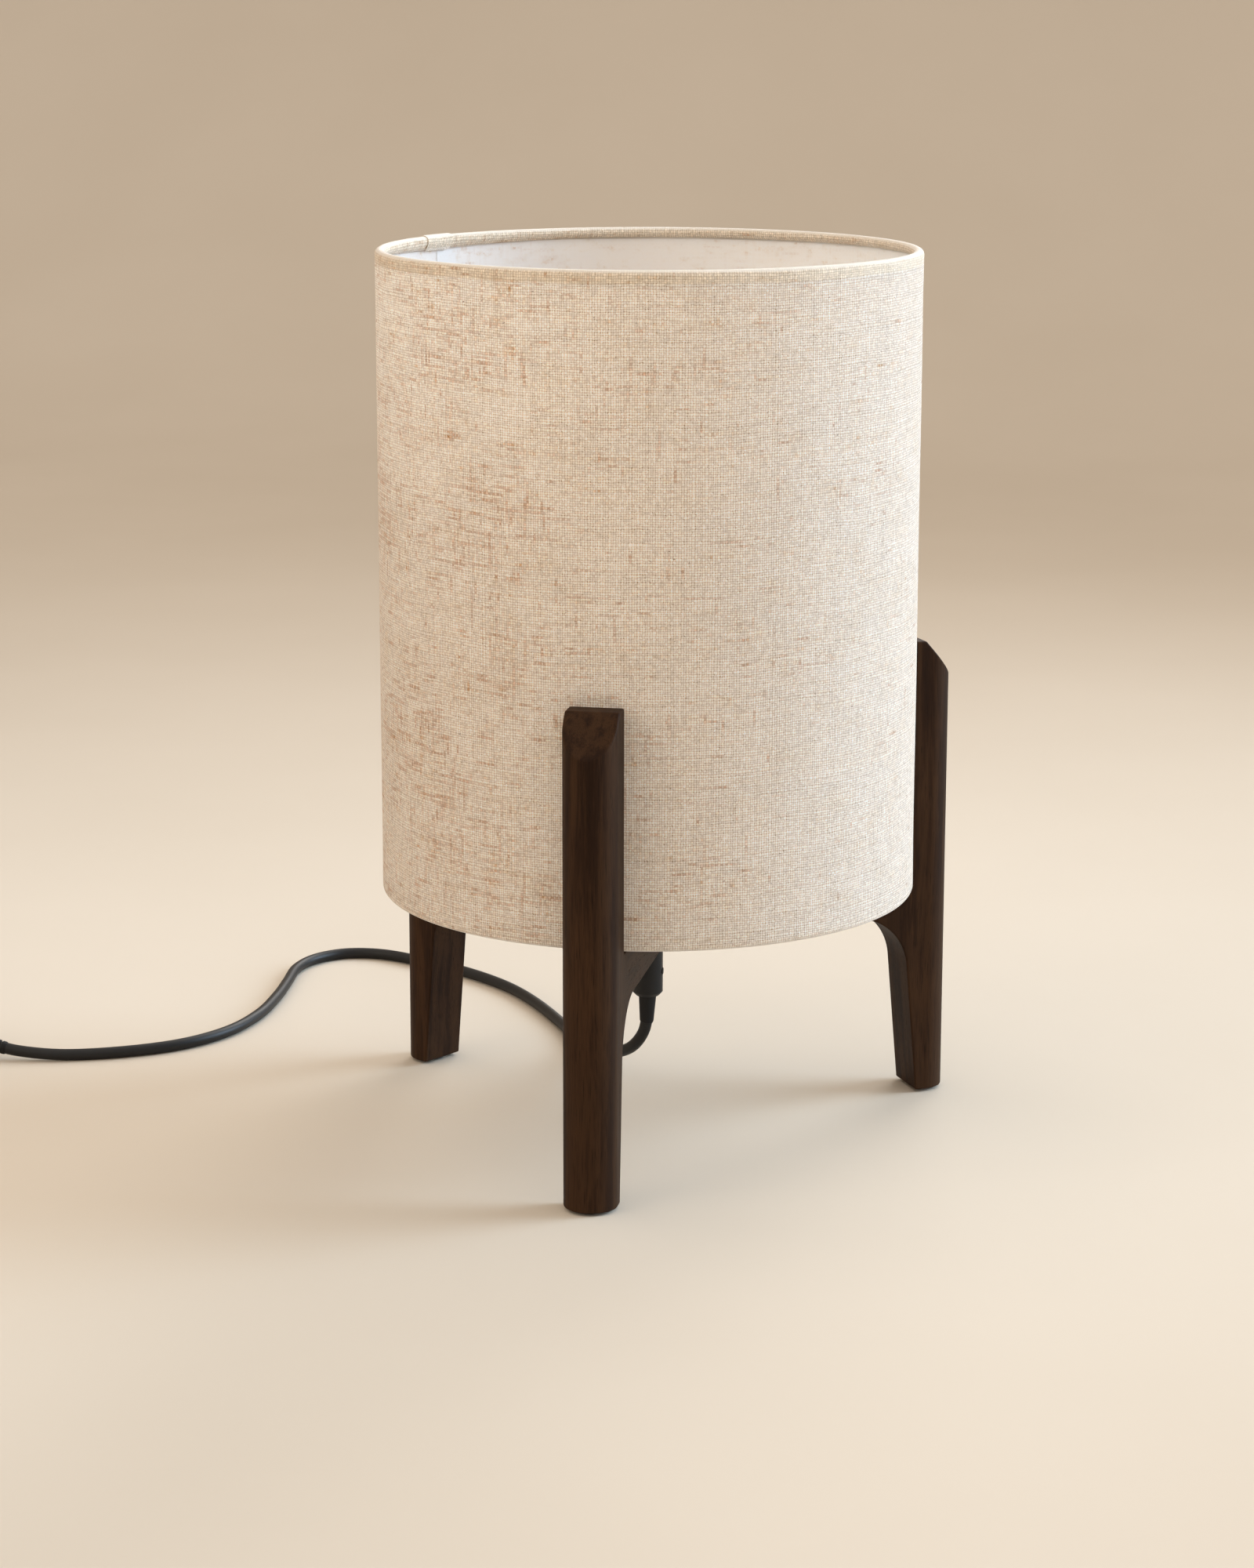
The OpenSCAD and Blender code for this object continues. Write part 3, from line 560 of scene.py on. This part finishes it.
M_LINEN = linen_mat("linen")
M_HEM = linen_mat("linen_hem", tone=0.97, see=0.20)
M_BACK = film_mat("laminate_back", (0.96, 0.95, 0.93), 0.94, 0.02)
M_LINING = linen_mat("lining_film", see=0.36, film=True)
M_SEAM = film_mat("seam_film", (0.92, 0.91, 0.90), 0.35)
M_WOOD = wood_mat("dark_wood")
M_CORD = plastic_mat("cord_pvc", (0.0075, 0.007, 0.007), 0.46, 2600, 0.05, 0.30, 0.25)
M_BLACK = plastic_mat("black_plastic", (0.0085, 0.008, 0.008), 0.48, 1700, 0.12, 0.28)
M_SWITCH = plastic_mat("switch_plastic", (0.0115, 0.011, 0.011), 0.46, 2100, 0.22, 0.30)
M_RUBBER = plastic_mat("black_rubber", (0.0075, 0.007, 0.007), 0.60, 2400, 0.10, 0.22)
M_HOLDER = plastic_mat("holder_plastic", (0.0125, 0.012, 0.0115), 0.40, 1300, 0.08, 0.34)
M_STEEL = metal_mat("zinc_steel", (0.66, 0.66, 0.64), 0.26)
M_BRASS = metal_mat("brass", (0.80, 0.60, 0.30), 0.22)
M_NICKEL = metal_mat("nickel", (0.78, 0.74, 0.67), 0.18)
M_CAP = metal_mat("bulb_cap_metal", (0.80, 0.78, 0.74), 0.24)
M_SOLDER = metal_mat("solder", (0.70, 0.70, 0.69), 0.34, (1, 1, 1), 0.5)
M_PLATE = paint_mat("black_steel", (0.014, 0.0135, 0.013), 0.42)
M_WIRE = paint_mat("white_wire", (0.82, 0.82, 0.80), 0.34)
M_GLASS = glass_mat("bulb_glass")
M_INSUL = plastic_mat("black_glass", (0.02, 0.02, 0.03), 0.16, 900, 0.03)
M_CERAMIC = paint_mat("white_ceramic", (0.84, 0.82, 0.77), 0.6, 1400)
M_BROWN = plastic_mat("brown_insulation", (0.16, 0.06, 0.025), 0.4)
M_BLUE = plastic_mat("blue_insulation", (0.03, 0.13, 0.5), 0.4)
M_FELT = paint_mat("foot_felt", (0.03, 0.028, 0.026), 0.9, 2600)
M_FIL = paint_mat("filament", (0.85, 0.52, 0.10), 0.5, 2200)

CAD_LOOKS = {
    "foot_pads": M_FELT, "hub_plate": M_PLATE, "hub_screws": M_STEEL, "threaded_tube": M_STEEL, "tube_washer": M_STEEL,
    "tube_nut": M_STEEL, "cord_grip": M_BLACK, "grip_screw": M_BLACK, "grip_sleeve": M_RUBBER, "holder_cap": M_HOLDER,
    "holder_skirt": M_HOLDER, "contact_carrier": M_CERAMIC, "screw_shell": M_BRASS, "centre_contact": M_BRASS,
    "terminal_screws": M_STEEL, "lead_brown": M_BROWN, "lead_blue": M_BLUE, "rim_wire_top": M_WIRE, "rim_wire_bottom": M_WIRE,
    "overlap_seam": M_SEAM, "spider": M_WIRE, "fitter_ring": M_WIRE, "retaining_ring": M_HOLDER, "bulb_glass": M_GLASS,
    "bulb_cap": M_CAP, "bulb_insulator": M_INSUL, "bulb_contact": M_SOLDER, "bulb_stem": M_GLASS, "bulb_filaments": M_FIL,
    "switch_base": M_SWITCH, "switch_cover": M_SWITCH, "switch_rocker": M_SWITCH, "switch_pin": M_STEEL, "switch_screws": M_STEEL,
    "switch_sleeves": M_RUBBER, "switch_contacts": M_BRASS, "cable_tie": M_BLACK, "plug_sleeve": M_RUBBER, "plug_body": M_BLACK,
    "pin_collars": M_BLACK, "plug_pins": M_NICKEL,
}
for node, mat in CAD_LOOKS.items():
    me = N[node].data
    me.materials.clear()
    me.materials.append(mat)
    me.set_sharp_from_angle(angle=math.radians(32))


# ---------------------------------------------------------------- legs
LEG_R, HW, LEG_TOP, FLAT_R, SLOPE = 134.0, 10.75, 197.0, 120.0, 16.0
FOOT_R, ARM_LO, ARM_HI, FIL_R, PAD, SEAT = 118.8, 79.0, 99.8, 24.0, 1.0, 110.5


def arc_shell(name, prof, ends, mats, n=28):
    """A closed profile of (r, z) swept about Z between each point's own two azimuths, with end caps."""
    k = len(prof)
    run = np.r_[0, np.cumsum(np.linalg.norm(np.roll(prof, -1, 0) - np.array(prof), axis=1))]
    verts = []
    for i in range(n + 1):
        for (r, z), (a0, a1) in zip(prof, ends):
            a = math.radians(a0 + (a1 - a0) * i / n)
            verts.append((r * math.cos(a) * S, r * math.sin(a) * S, z * S))
    faces, uv = [], []
    for i in range(n):
        for q in range(k):
            p = (q + 1) % k
            faces.append((i * k + q, (i + 1) * k + q, (i + 1) * k + p, i * k + p))
            u = [math.radians(ends[j][0] + (ends[j][1] - ends[j][0]) * t / n) * 0.11 for j, t in ((q, i), (q, i + 1), (p, i + 1), (p, i))]
            uv += [(u[0], run[q] * S), (u[1], run[q] * S), (u[2], run[q + 1] * S), (u[3], run[q + 1] * S)]
    for i in (0, n):
        faces.append([i * k + q for q in range(k)])
        uv += [(i * 0.3 + prof[q][0] * S, prof[q][1] * S) for q in range(k)]
    return fix_normals(new_mesh(name, verts, faces, mats, uv=uv, angle=50))


def soften(node, body, width, seg=3, ang=28, sharp=35):
    """The CAD node's shape again with its edges rounded over, width in millimetres."""
    src = N[node]
    me = src.data.copy()
    me.name = "soft_" + node
    me.transform(src.matrix_world)
    bm = bmesh.new()
    bm.from_mesh(me)
    bmesh.ops.remove_doubles(bm, verts=bm.verts, dist=1e-6)
    bmesh.ops.dissolve_limit(bm, angle_limit=math.radians(0.6), verts=bm.verts, edges=bm.edges)
    bmesh.ops.recalc_face_normals(bm, faces=bm.faces)
    bm.to_mesh(me)
    bm.free()
    ob = bpy.data.objects.new("soft_" + node, me)
    scene.collection.objects.link(ob)
    me.polygons.foreach_set("use_smooth", np.ones(len(me.polygons), bool))
    bv = ob.modifiers.new("round", "BEVEL")
    bv.width, bv.segments, bv.limit_method, bv.angle_limit = width * S, seg, "ANGLE", math.radians(ang)
    bv.use_clamp_overlap = True
    apply_mods(ob)
    tri = ob.modifiers.new("tri", "TRIANGULATE")
    apply_mods(ob)
    ob.data.set_sharp_from_angle(angle=math.radians(sharp))
    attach(ob, body)
    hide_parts(node)
    return ob


def loft(name, secs, mats, n=48, angle=38):
    """Rounded-rectangle sections along +X, in millimetres: (x, cy, cz, half width, half height, corner)."""
    verts, m = [], n // 4
    for x, cy, cz, a, b, c in secs:
        c = min(c, a - 0.01, b - 0.01)
        for q, (sy, sz) in enumerate(((1, 1), (-1, 1), (-1, -1), (1, -1))):
            for j in range(m):
                t = (q + j / (m - 1)) * math.pi / 2
                verts.append((x * S, (cy + sy * (a - c) + c * math.cos(t)) * S, (cz + sz * (b - c) + c * math.sin(t)) * S))
    n = 4 * m
    faces = [(i * n + q, i * n + (q + 1) % n, (i + 1) * n + (q + 1) % n, (i + 1) * n + q) for i in range(len(secs) - 1) for q in range(n)]
    faces += [list(range(n)), list(range((len(secs) - 1) * n, len(secs) * n))]
    return fix_normals(new_mesh(name, verts, faces, mats, angle=angle))


def sleeve(name, pts, prof, mat, node=None, n=40):
    """A moulded sleeve that follows the lead: prof is (distance along the lead, radius) in millimetres."""
    pts = [Vector(p) for p in pts]
    rings, side = [], None
    for d, r in prof:
        left, i = d, 0
        while i < len(pts) - 2 and left > (pts[i + 1] - pts[i]).length:
            left -= (pts[i + 1] - pts[i]).length
            i += 1
        t = (pts[i + 1] - pts[i]).normalized()
        c = pts[i] + t * left
        side = side or (Vector((0, 1, 0)) if abs(t.y) < 0.9 else Vector((1, 0, 0)))
        u = (side - t * side.dot(t)).normalized()
        v = t.cross(u)
        side = u
        rings += [tuple((c + (u * math.cos(a) + v * math.sin(a)) * r) * S) for a in np.arange(n) * 2 * np.pi / n]
    m = len(prof)
    faces = [(i * n + q, i * n + (q + 1) % n, (i + 1) * n + (q + 1) % n, (i + 1) * n + q) for i in range(m - 1) for q in range(n)]
    faces += [list(range(n)), list(range((m - 1) * n, m * n))]
    ob = fix_normals(new_mesh(name, rings, faces, [mat], angle=34))
    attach(ob, "base")
    if node:
        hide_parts(node)
    return ob


def ribbed(length, r0, r1, start=2.0, pitch=2.6, groove=0.55, collar=None):
    """Sleeve profile: a collar, tapering ribs, and a closed lip on the lead."""
    prof = [(0, 1.5)] + ([(0, collar), (start - 0.3, collar), (start, collar - 0.25)] if collar else [(0, r0)])
    r = lambda d: r0 + (r1 - r0) * (d - start) / (length - start)
    d = start + 0.1
    while d + pitch < length - 1.2:
        prof += [(d, r(d)), (d + pitch * 0.55, r(d + pitch * 0.55)), (d + pitch * 0.62, r(d) - groove), (d + pitch * 0.93, r(d + pitch) - groove), (d + pitch, r(d + pitch))]
        d += pitch
    return prof + [(length - 0.5, r(length - 0.5)), (length - 0.12, r1 - 0.15), (length, 2.4), (length, 1.5)]


def leg_object(name, az):
    lean = 5.2 / 57
    ln = math.sqrt(1 + lean * lean)
    fz = ARM_LO - FIL_R
    fc = FOOT_R - lean * (fz + FIL_R * lean / ln) - FIL_R / ln
    ftz = fz + FIL_R * lean / ln
    rc = LEG_R - HW
    bm = bmesh.new()
    cache = {}

    def vert(r, t, z):
        key = (round(r, 4), round(t, 4), round(z, 4))
        if key not in cache:
            cache[key] = bm.verts.new(key)
        return cache[key]

    def face(pts):
        vs = []
        for p in pts:
            v = vert(*p)
            if not vs or vs[-1] is not v:
                vs.append(v)
        if len(vs) > 2 and len(set(vs)) == len(vs):
            bm.faces.new(vs)

    top = lambda r: LEG_TOP - max(0, r - FLAT_R) * SLOPE / (LEG_R - FLAT_R)
    nose = [(rc + HW * math.cos(a), HW * math.sin(a)) for a in np.linspace(math.pi / 2, -math.pi / 2, 49)]
    a0 = math.atan2(ftz - fz, FOOT_R - lean * ftz - fc)
    arc = [(fc + FIL_R * math.cos(a), fz + FIL_R * math.sin(a)) for a in np.linspace(a0, math.pi / 2, 21)]
    inner = [(FOOT_R - lean * PAD, PAD)] + arc
    hub = [(5.2 * math.cos(a), 5.2 * math.sin(a)) for a in np.linspace(math.radians(59.4), -math.radians(59.4), 15)]
    vr = 6.28
    for s in (1, -1):
        t = s * HW
        side = [(r, t, z) for r, z in inner] + [(vr, t, ARM_LO), (vr, t, ARM_HI), (SEAT, t, ARM_HI), (SEAT, t, LEG_TOP), (FLAT_R, t, LEG_TOP), (rc, t, top(rc)), (rc, t, PAD)]
        face(side if s > 0 else side[::-1])
    for (r0, z0), (r1, z1) in zip(inner, inner[1:]):
        face([(r0, HW, z0), (r0, -HW, z0), (r1, -HW, z1), (r1, HW, z1)])
    face([(arc[-1][0], HW, ARM_LO), (arc[-1][0], -HW, ARM_LO), (vr, -HW, ARM_LO)] + [(r, t, ARM_LO) for r, t in hub[::-1]] + [(vr, HW, ARM_LO)])
    face([(SEAT, -HW, ARM_HI), (SEAT, HW, ARM_HI), (vr, HW, ARM_HI)] + [(r, t, ARM_HI) for r, t in hub] + [(vr, -HW, ARM_HI)])
    edge = [(vr, HW)] + hub + [(vr, -HW)]
    for (r0, t0), (r1, t1) in zip(edge, edge[1:]):
        face([(r0, t0, ARM_LO), (r0, t0, ARM_HI), (r1, t1, ARM_HI), (r1, t1, ARM_LO)])
    face([(SEAT, HW, ARM_HI), (SEAT, -HW, ARM_HI), (SEAT, -HW, LEG_TOP), (SEAT, HW, LEG_TOP)])
    face([(SEAT, HW, LEG_TOP), (SEAT, -HW, LEG_TOP), (FLAT_R, -HW, LEG_TOP), (FLAT_R, HW, LEG_TOP)])
    face([(FLAT_R, HW, LEG_TOP), (FLAT_R, -HW, LEG_TOP)] + [(r, t, top(r)) for r, t in nose[::-1]])
    face([(FOOT_R - lean * PAD, -HW, PAD), (FOOT_R - lean * PAD, HW, PAD)] + [(r, t, PAD) for r, t in nose])
    for (r0, t0), (r1, t1) in zip(nose, nose[1:]):
        face([(r0, t0, PAD), (r0, t0, top(r0)), (r1, t1, top(r1)), (r1, t1, PAD)])
    bmesh.ops.recalc_face_normals(bm, faces=bm.faces)
    me = bpy.data.meshes.new(name)
    bm.to_mesh(me)
    bm.free()
    me.transform(Matrix.Scale(S, 4))
    ob = bpy.data.objects.new(name, me)
    scene.collection.objects.link(ob)
    me.materials.append(M_WOOD)
    me.polygons.foreach_set("use_smooth", np.ones(len(me.polygons), bool))
    bv = ob.modifiers.new("round", "BEVEL")
    bv.width, bv.segments, bv.limit_method, bv.angle_limit = 0.0014, 4, "ANGLE", math.radians(24)
    bv.use_clamp_overlap = True
    bv.miter_outer = "MITER_ARC"
    bv.harden_normals = True
    apply_mods(ob)
    tri = ob.modifiers.new("tri", "TRIANGULATE")
    tri.keep_custom_normals = True
    apply_mods(ob)
    me = ob.data
    co = np.zeros(len(me.vertices) * 3, np.float32)
    me.vertices.foreach_get("co", co)
    co = co.reshape(-1, 3)
    at = me.attributes.new("lc", "FLOAT_VECTOR", "POINT")
    at.data.foreach_set("vector", (co + np.array([0, 0.31 * az / 90, 0.17 * az / 60])).astype(np.float32).ravel())
    me.transform(Matrix.Rotation(math.radians(az), 4, "Z"))
    return ob


for nm, az in (("leg_front", -90), ("leg_right", 30), ("leg_left", 150)):
    lg = leg_object("look_" + nm, az)
    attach(lg, "base")
    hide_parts(nm)


# ---------------------------------------------------------------- shade
R, ZB, ZT = 110.0, 100.0, 363.0


def shade_pieces():
    rng = np.random.default_rng(5)
    ph = rng.uniform(0, 2 * np.pi, 6)

    def wob(a, z):
        w = 0.10 * math.sin(2 * a + ph[0]) + 0.06 * math.sin(5 * a + ph[1])
        w = w + 0.07 * np.sin(z * 0.055 + 3 * a + ph[2]) * math.sin(3 * a + ph[3])
        return w * np.clip((131.5 - 5.5 - np.abs(z - 231.5)) / 12.0, 0, 1)

    t = 0.7
    rr = 2.10
    cxo = R - rr - 0.02
    def rim(zc, s, r0):
        return [(cxo + r0 * math.cos(a), zc + s * r0 * math.sin(a)) for a in np.linspace(0.12, math.pi - 0.02, 9)]
    out = [(R - 0.02, z) for z in np.linspace(ZB + 2.5, ZT - 2.5, 45)]
    top_o, top_i = rim(ZT - rr - 0.02, 1, rr), rim(ZT - rr - 0.02, 1, rr - 0.55)
    bot_o, bot_i = rim(ZB + rr + 0.02, -1, rr), rim(ZB + rr + 0.02, -1, rr - 0.55)
    fl = cxo - rr
    flap_o = [(fl + 0.12, ZT - 2.9), (fl + 0.95, ZT - 3.6), (fl + 1.95, ZT - 4.3)]
    flap_i = [(fl + 2.35, ZT - 4.3), (fl + 1.45, ZT - 3.5), (fl + 0.66, ZT - 2.8)]
    fb_o = [(fl + 0.12, ZB + 3.2), (fl + 0.95, ZB + 4.6), (fl + 1.95, ZB + 6.0)]
    fb_i = [(fl + 2.35, ZB + 6.0), (fl + 1.45, ZB + 4.5), (fl + 0.66, ZB + 3.1)]
    prof = out + top_o + flap_o + flap_i + top_i[::-1]
    k_in0 = len(prof)
    prof += [(R - t, z) for z in np.linspace(ZT - 3.2, ZB + 3.2, 30)]
    k_in1 = len(prof)
    prof += bot_i + fb_i[::-1] + fb_o[::-1] + bot_o[::-1]
    fmat = [0] * len(prof)
    for q in range(len(out) - 1 + len(top_o) + len(flap_o), k_in1 + len(bot_i) + 2):
        fmat[q] = 1
    n_o, n_t = len(out), len(top_o)
    for q in list(range(n_o + n_t - 2, n_o + n_t + len(flap_o) + 1)):
        fmat[q] = 2
    for q in range(k_in1 + len(bot_i) + 2, k_in1 + len(bot_i) + 7):
        fmat[q] = 2
    cloth = revolve("shade_cloth", prof, [M_LINEN, M_BACK, M_HEM], 240, fmat=fmat, angle=60, wob=wob, start=152)
    # the turned-in edge was cut a little deeper on either side of the overlap
    for v in cloth.data.vertices:
        r, drop = math.hypot(v.co.x, v.co.y) / S, ZT - v.co.z / S
        if drop < 5 and 2.75 < drop and r < fl + 2.5:
            az = abs((math.degrees(math.atan2(v.co.y, v.co.x)) - 158 + 180) % 360 - 180)
            v.co.z = (ZT - 2.75 - (drop - 2.75) * (1 + 1.05 * max(0.0, 1 - az / 38) ** 0.7)) * S
    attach(cloth, "shade")
    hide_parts("shade_linen", "hem_top", "hem_bottom")
    lo, hi = ZB + 5.0, ZT - 5.0
    a, b = R - 1.28, R - 0.76
    prof = [(b, z) for z in np.linspace(lo, hi, 20)] + [(a, z) for z in np.linspace(hi, lo, 20)]
    lin = revolve("shade_lining_film", prof, [M_LINING, M_BACK], 240, fmat=[1] * 20 + [0] * 20, angle=50, wob=wob, start=152)
    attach(lin, "shade")
    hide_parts("shade_lining")
    # the vertical overlap inside, and the ends of the turned-in cloth that lie over each other there
    strip = arc_shell("seam_strip", [(108.42, 107.0), (108.68, 107.0), (108.68, 356.0), (108.42, 356.0)], [(148.9, 155.1)] * 4, [M_LINING])
    def lap(zc, s):
        arc = lambda r0, a0, a1: [(cxo + r0 * math.cos(a), zc + s * r0 * math.sin(a)) for a in np.linspace(a0, a1, 9)]
        o = arc(rr + 0.42, 1.25, math.pi) + [(fl - 0.22, zc - s * 1.3), (fl + 0.55, zc - s * 2.7), (fl + 1.5, zc - s * 4.1)]
        if s < 0:
            o = [(r0, max(z0, 99.86)) for r0, z0 in o]  # pressed flat where it lies on the arm
        i = [(fl + 1.9, zc - s * 3.9), (fl + 0.92, zc - s * 2.5), (fl + 0.1, zc - s * 1.1)] + arc(rr - 0.03, math.pi, 1.25)
        k = len(o)
        ends = [(152.0 - 0.75 * math.sin(math.pi * q / (k - 1)), 160.5) for q in range(k)]
        return arc_shell("hem_lap_" + ("top" if s > 0 else "bottom"), o + i, ends + ends[::-1], [M_HEM])
    laps = [lap(ZT - rr - 0.02, 1), lap(ZB + rr + 0.02, -1)]
    for o in [strip] + laps:
        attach(o, "shade")
    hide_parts("overlap_seam")
    return cloth, lin


shade_pieces()

# ---------------------------------------------------------------- lead
lead_ob.data.materials.append(M_CORD)
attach(lead_ob, "base")
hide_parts("cord_run", "cord_link", "cord_coil", "cord_tail")

run_mm = [Vector((0, 0, 60))] + catmull(RUN[1:], 8)
hub_sleeve = sleeve("hub_sleeve", [Vector((0, 0, 60))] + [p for p in run_mm if p.z < 59], [(0, 1.5), (0, 3.85), (8, 3.7), (19, 2.95), (19.7, 2.8), (20, 2.45), (20, 1.5)], M_RUBBER, "grip_sleeve")
sw_in = sleeve("switch_sleeve_in", [Vector((-316, 24, 8.5))] + run_mm[::-1], ribbed(24, 3.65, 2.85, start=5.2, pitch=2.8), M_RUBBER, "switch_sleeves")
sw_out = sleeve("switch_sleeve_out", [Vector((-368, 24, 8.5))] + catmull(LINK, 8), ribbed(24, 3.65, 2.85, start=5.2, pitch=2.8), M_RUBBER)
plug_sl = sleeve("plug_strain_relief", [Vector((-372, -45, 7)), Vector((-396, -45, 7))] + catmull(TAIL, 6)[::-1][1:], ribbed(30, 5.0, 2.9, start=2.4, pitch=2.9, groove=0.7), M_RUBBER, "plug_sleeve")


def plug():
    """Flat two-pin plug, waisted for the fingers, with grip ridges on its flanks."""
    xs = np.linspace(0, 36, 73)
    w = np.interp(xs, [0, 3, 8, 14, 19, 24, 29, 36], [6.0, 7.9, 8.6, 9.5, 12.2, 15.7, 17.2, 17.4])
    w = np.convolve(np.r_[[w[0]] * 4, w, [w[-1]] * 4], np.ones(9) / 9, "valid")
    w -= np.where((xs > 4) & (xs < 15), 0.30 * (0.5 - 0.5 * np.cos((xs - 4) * 2 * np.pi / 2.2)), 0)
    h = np.interp(xs, [0, 4, 36], [5.2, 6.8, 6.8])
    secs = []
    for x, a, b in zip(xs, w, h):
        e = min(x, 36 - x)
        cut = 1.5 - math.sqrt(max(0.0, 1.5 ** 2 - max(0.0, 1.5 - e) ** 2)) if e < 1.5 else 0.0
        secs.append((-374 + x, PLUG[1], PLUG[2], a - cut, b - cut, 4.2 if x < 20 else 3.2))
    ob = loft("plug_shell", secs, [M_BLACK], 56)
    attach(ob, "base")
    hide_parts("plug_body")
    return ob


plug_ob = plug()
sw_base = soften("switch_base", "base", 0.45)
sw_cover = soften("switch_cover", "base", 0.8, 4)
sw_rock = soften("switch_rocker", "rocker", 0.35)
tie = soften("cable_tie", "base", 0.35)

# ---------------------------------------------------------------- small parts
for node, body, slot, width in (("cord_grip", "base", "black_plastic", 0.4), ("hub_plate", "base", "black_steel", 0.3),
                                ("holder_cap", "base", "holder_plastic", 0.5), ("retaining_ring", "shade_ring", "holder_plastic", 0.35),
                                ("fitter_ring", "shade", "white_wire", 0.25), ("contact_carrier", "base", "white_ceramic", 0.3),
                                ("tube_nut", "base", "zinc_steel", 0.2), ("foot_pads", "base", "foot_felt", 0.25)):
    soften(node, body, width)


# ---------------------------------------------------------------- floor and light
def floor_mat():
    k = Mat("stage_floor")
    n = k.noise(k.coords(), 3, 3, 0.5)
    col = k.mixc(k.rng(n, 0.3, 0.7, 0, 1), (0.61, 0.535, 0.44), (0.635, 0.56, 0.465))
    return k.done(k.principled(Base_Color=col, Roughness=0.85, Specular_IOR_Level=0.06))


def stage():
    """A pale studio sweep: the table top, curving up far behind the lamp."""
    prof = [(-12.0, 0.0), (2.0, 0.0)] + [(2.0 + 1.3 * math.sin(q), 1.3 - 1.3 * math.cos(q)) for q in np.linspace(0.06, math.pi / 2, 24)] + [(3.3, 4.0)]
    v = [(x, y, z - 0.0002) for x in (-12.0, 12.0) for y, z in prof]
    n = len(prof)
    fl = new_mesh("stage_floor", v, [(i, i + n, i + n + 1, i + 1) for i in range(n - 1)], [floor_mat()], smooth=True)


def area(name, loc, target, size, power, color=(1, 1, 1), size_y=None, spread=180):
    li = bpy.data.lights.new(name, "AREA")
    li.energy, li.color, li.size, li.spread = power, color, size, math.radians(spread)
    if size_y:
        li.shape, li.size_y = "RECTANGLE", size_y
    ob = bpy.data.objects.new(name, li)
    ob.location = loc
    ob.rotation_euler = (Vector(target) - Vector(loc)).to_track_quat("-Z", "Y").to_euler()
    scene.collection.objects.link(ob)


stage()
w = bpy.data.worlds.new("studio")
scene.world = w
w.use_nodes = True
sky = w.node_tree
bg, tc, sz, mx = sky.nodes["Background"], sky.nodes.new("ShaderNodeTexCoord"), sky.nodes.new("ShaderNodeSeparateXYZ"), sky.nodes.new("ShaderNodeMapRange")
for i, x in enumerate((-0.1, 0.9, 0.48, 1.14)):
    mx.inputs[1 + i].default_value = x
# a warm room on the left, daylight from the right
side, tint = sky.nodes.new("ShaderNodeMapRange"), sky.nodes.new("ShaderNodeMix")
tint.data_type = "RGBA"
for i, x in enumerate((-0.5, 0.8, 0.0, 1.0)):
    side.inputs[1 + i].default_value = x
tint.inputs[6].default_value = (1.0, 0.865, 0.73, 1)
tint.inputs[7].default_value = (0.97, 0.96, 0.95, 1)
sky.links.new(sz.outputs[0], side.inputs[0])
sky.links.new(side.outputs[0], tint.inputs[0])
sky.links.new(tint.outputs[2], bg.inputs[0])
sky.links.new(tc.outputs["Generated"], sz.inputs[0])
sky.links.new(sz.outputs[2], mx.inputs[0])
sky.links.new(mx.outputs[0], bg.inputs[1])
area("window", (1.75, 0.70, 0.95), (0, 0, 0.22), 1.4, 8.6, (0.74, 0.98, 1.24), 1.6, 60)
area("back", (0.35, 1.8, 1.3), (0, 0, 0.25), 1.2, 3.4, (0.98, 0.99, 1.0), None, 60)
area("front_fill", (-1.5, -1.5, 1.2), (0, 0, 0.2), 1.3, 9, (1.0, 0.88, 0.74))
scene.view_settings.view_transform = "Standard"
scene.view_settings.look = "None"
scene.view_settings.exposure = 0.0
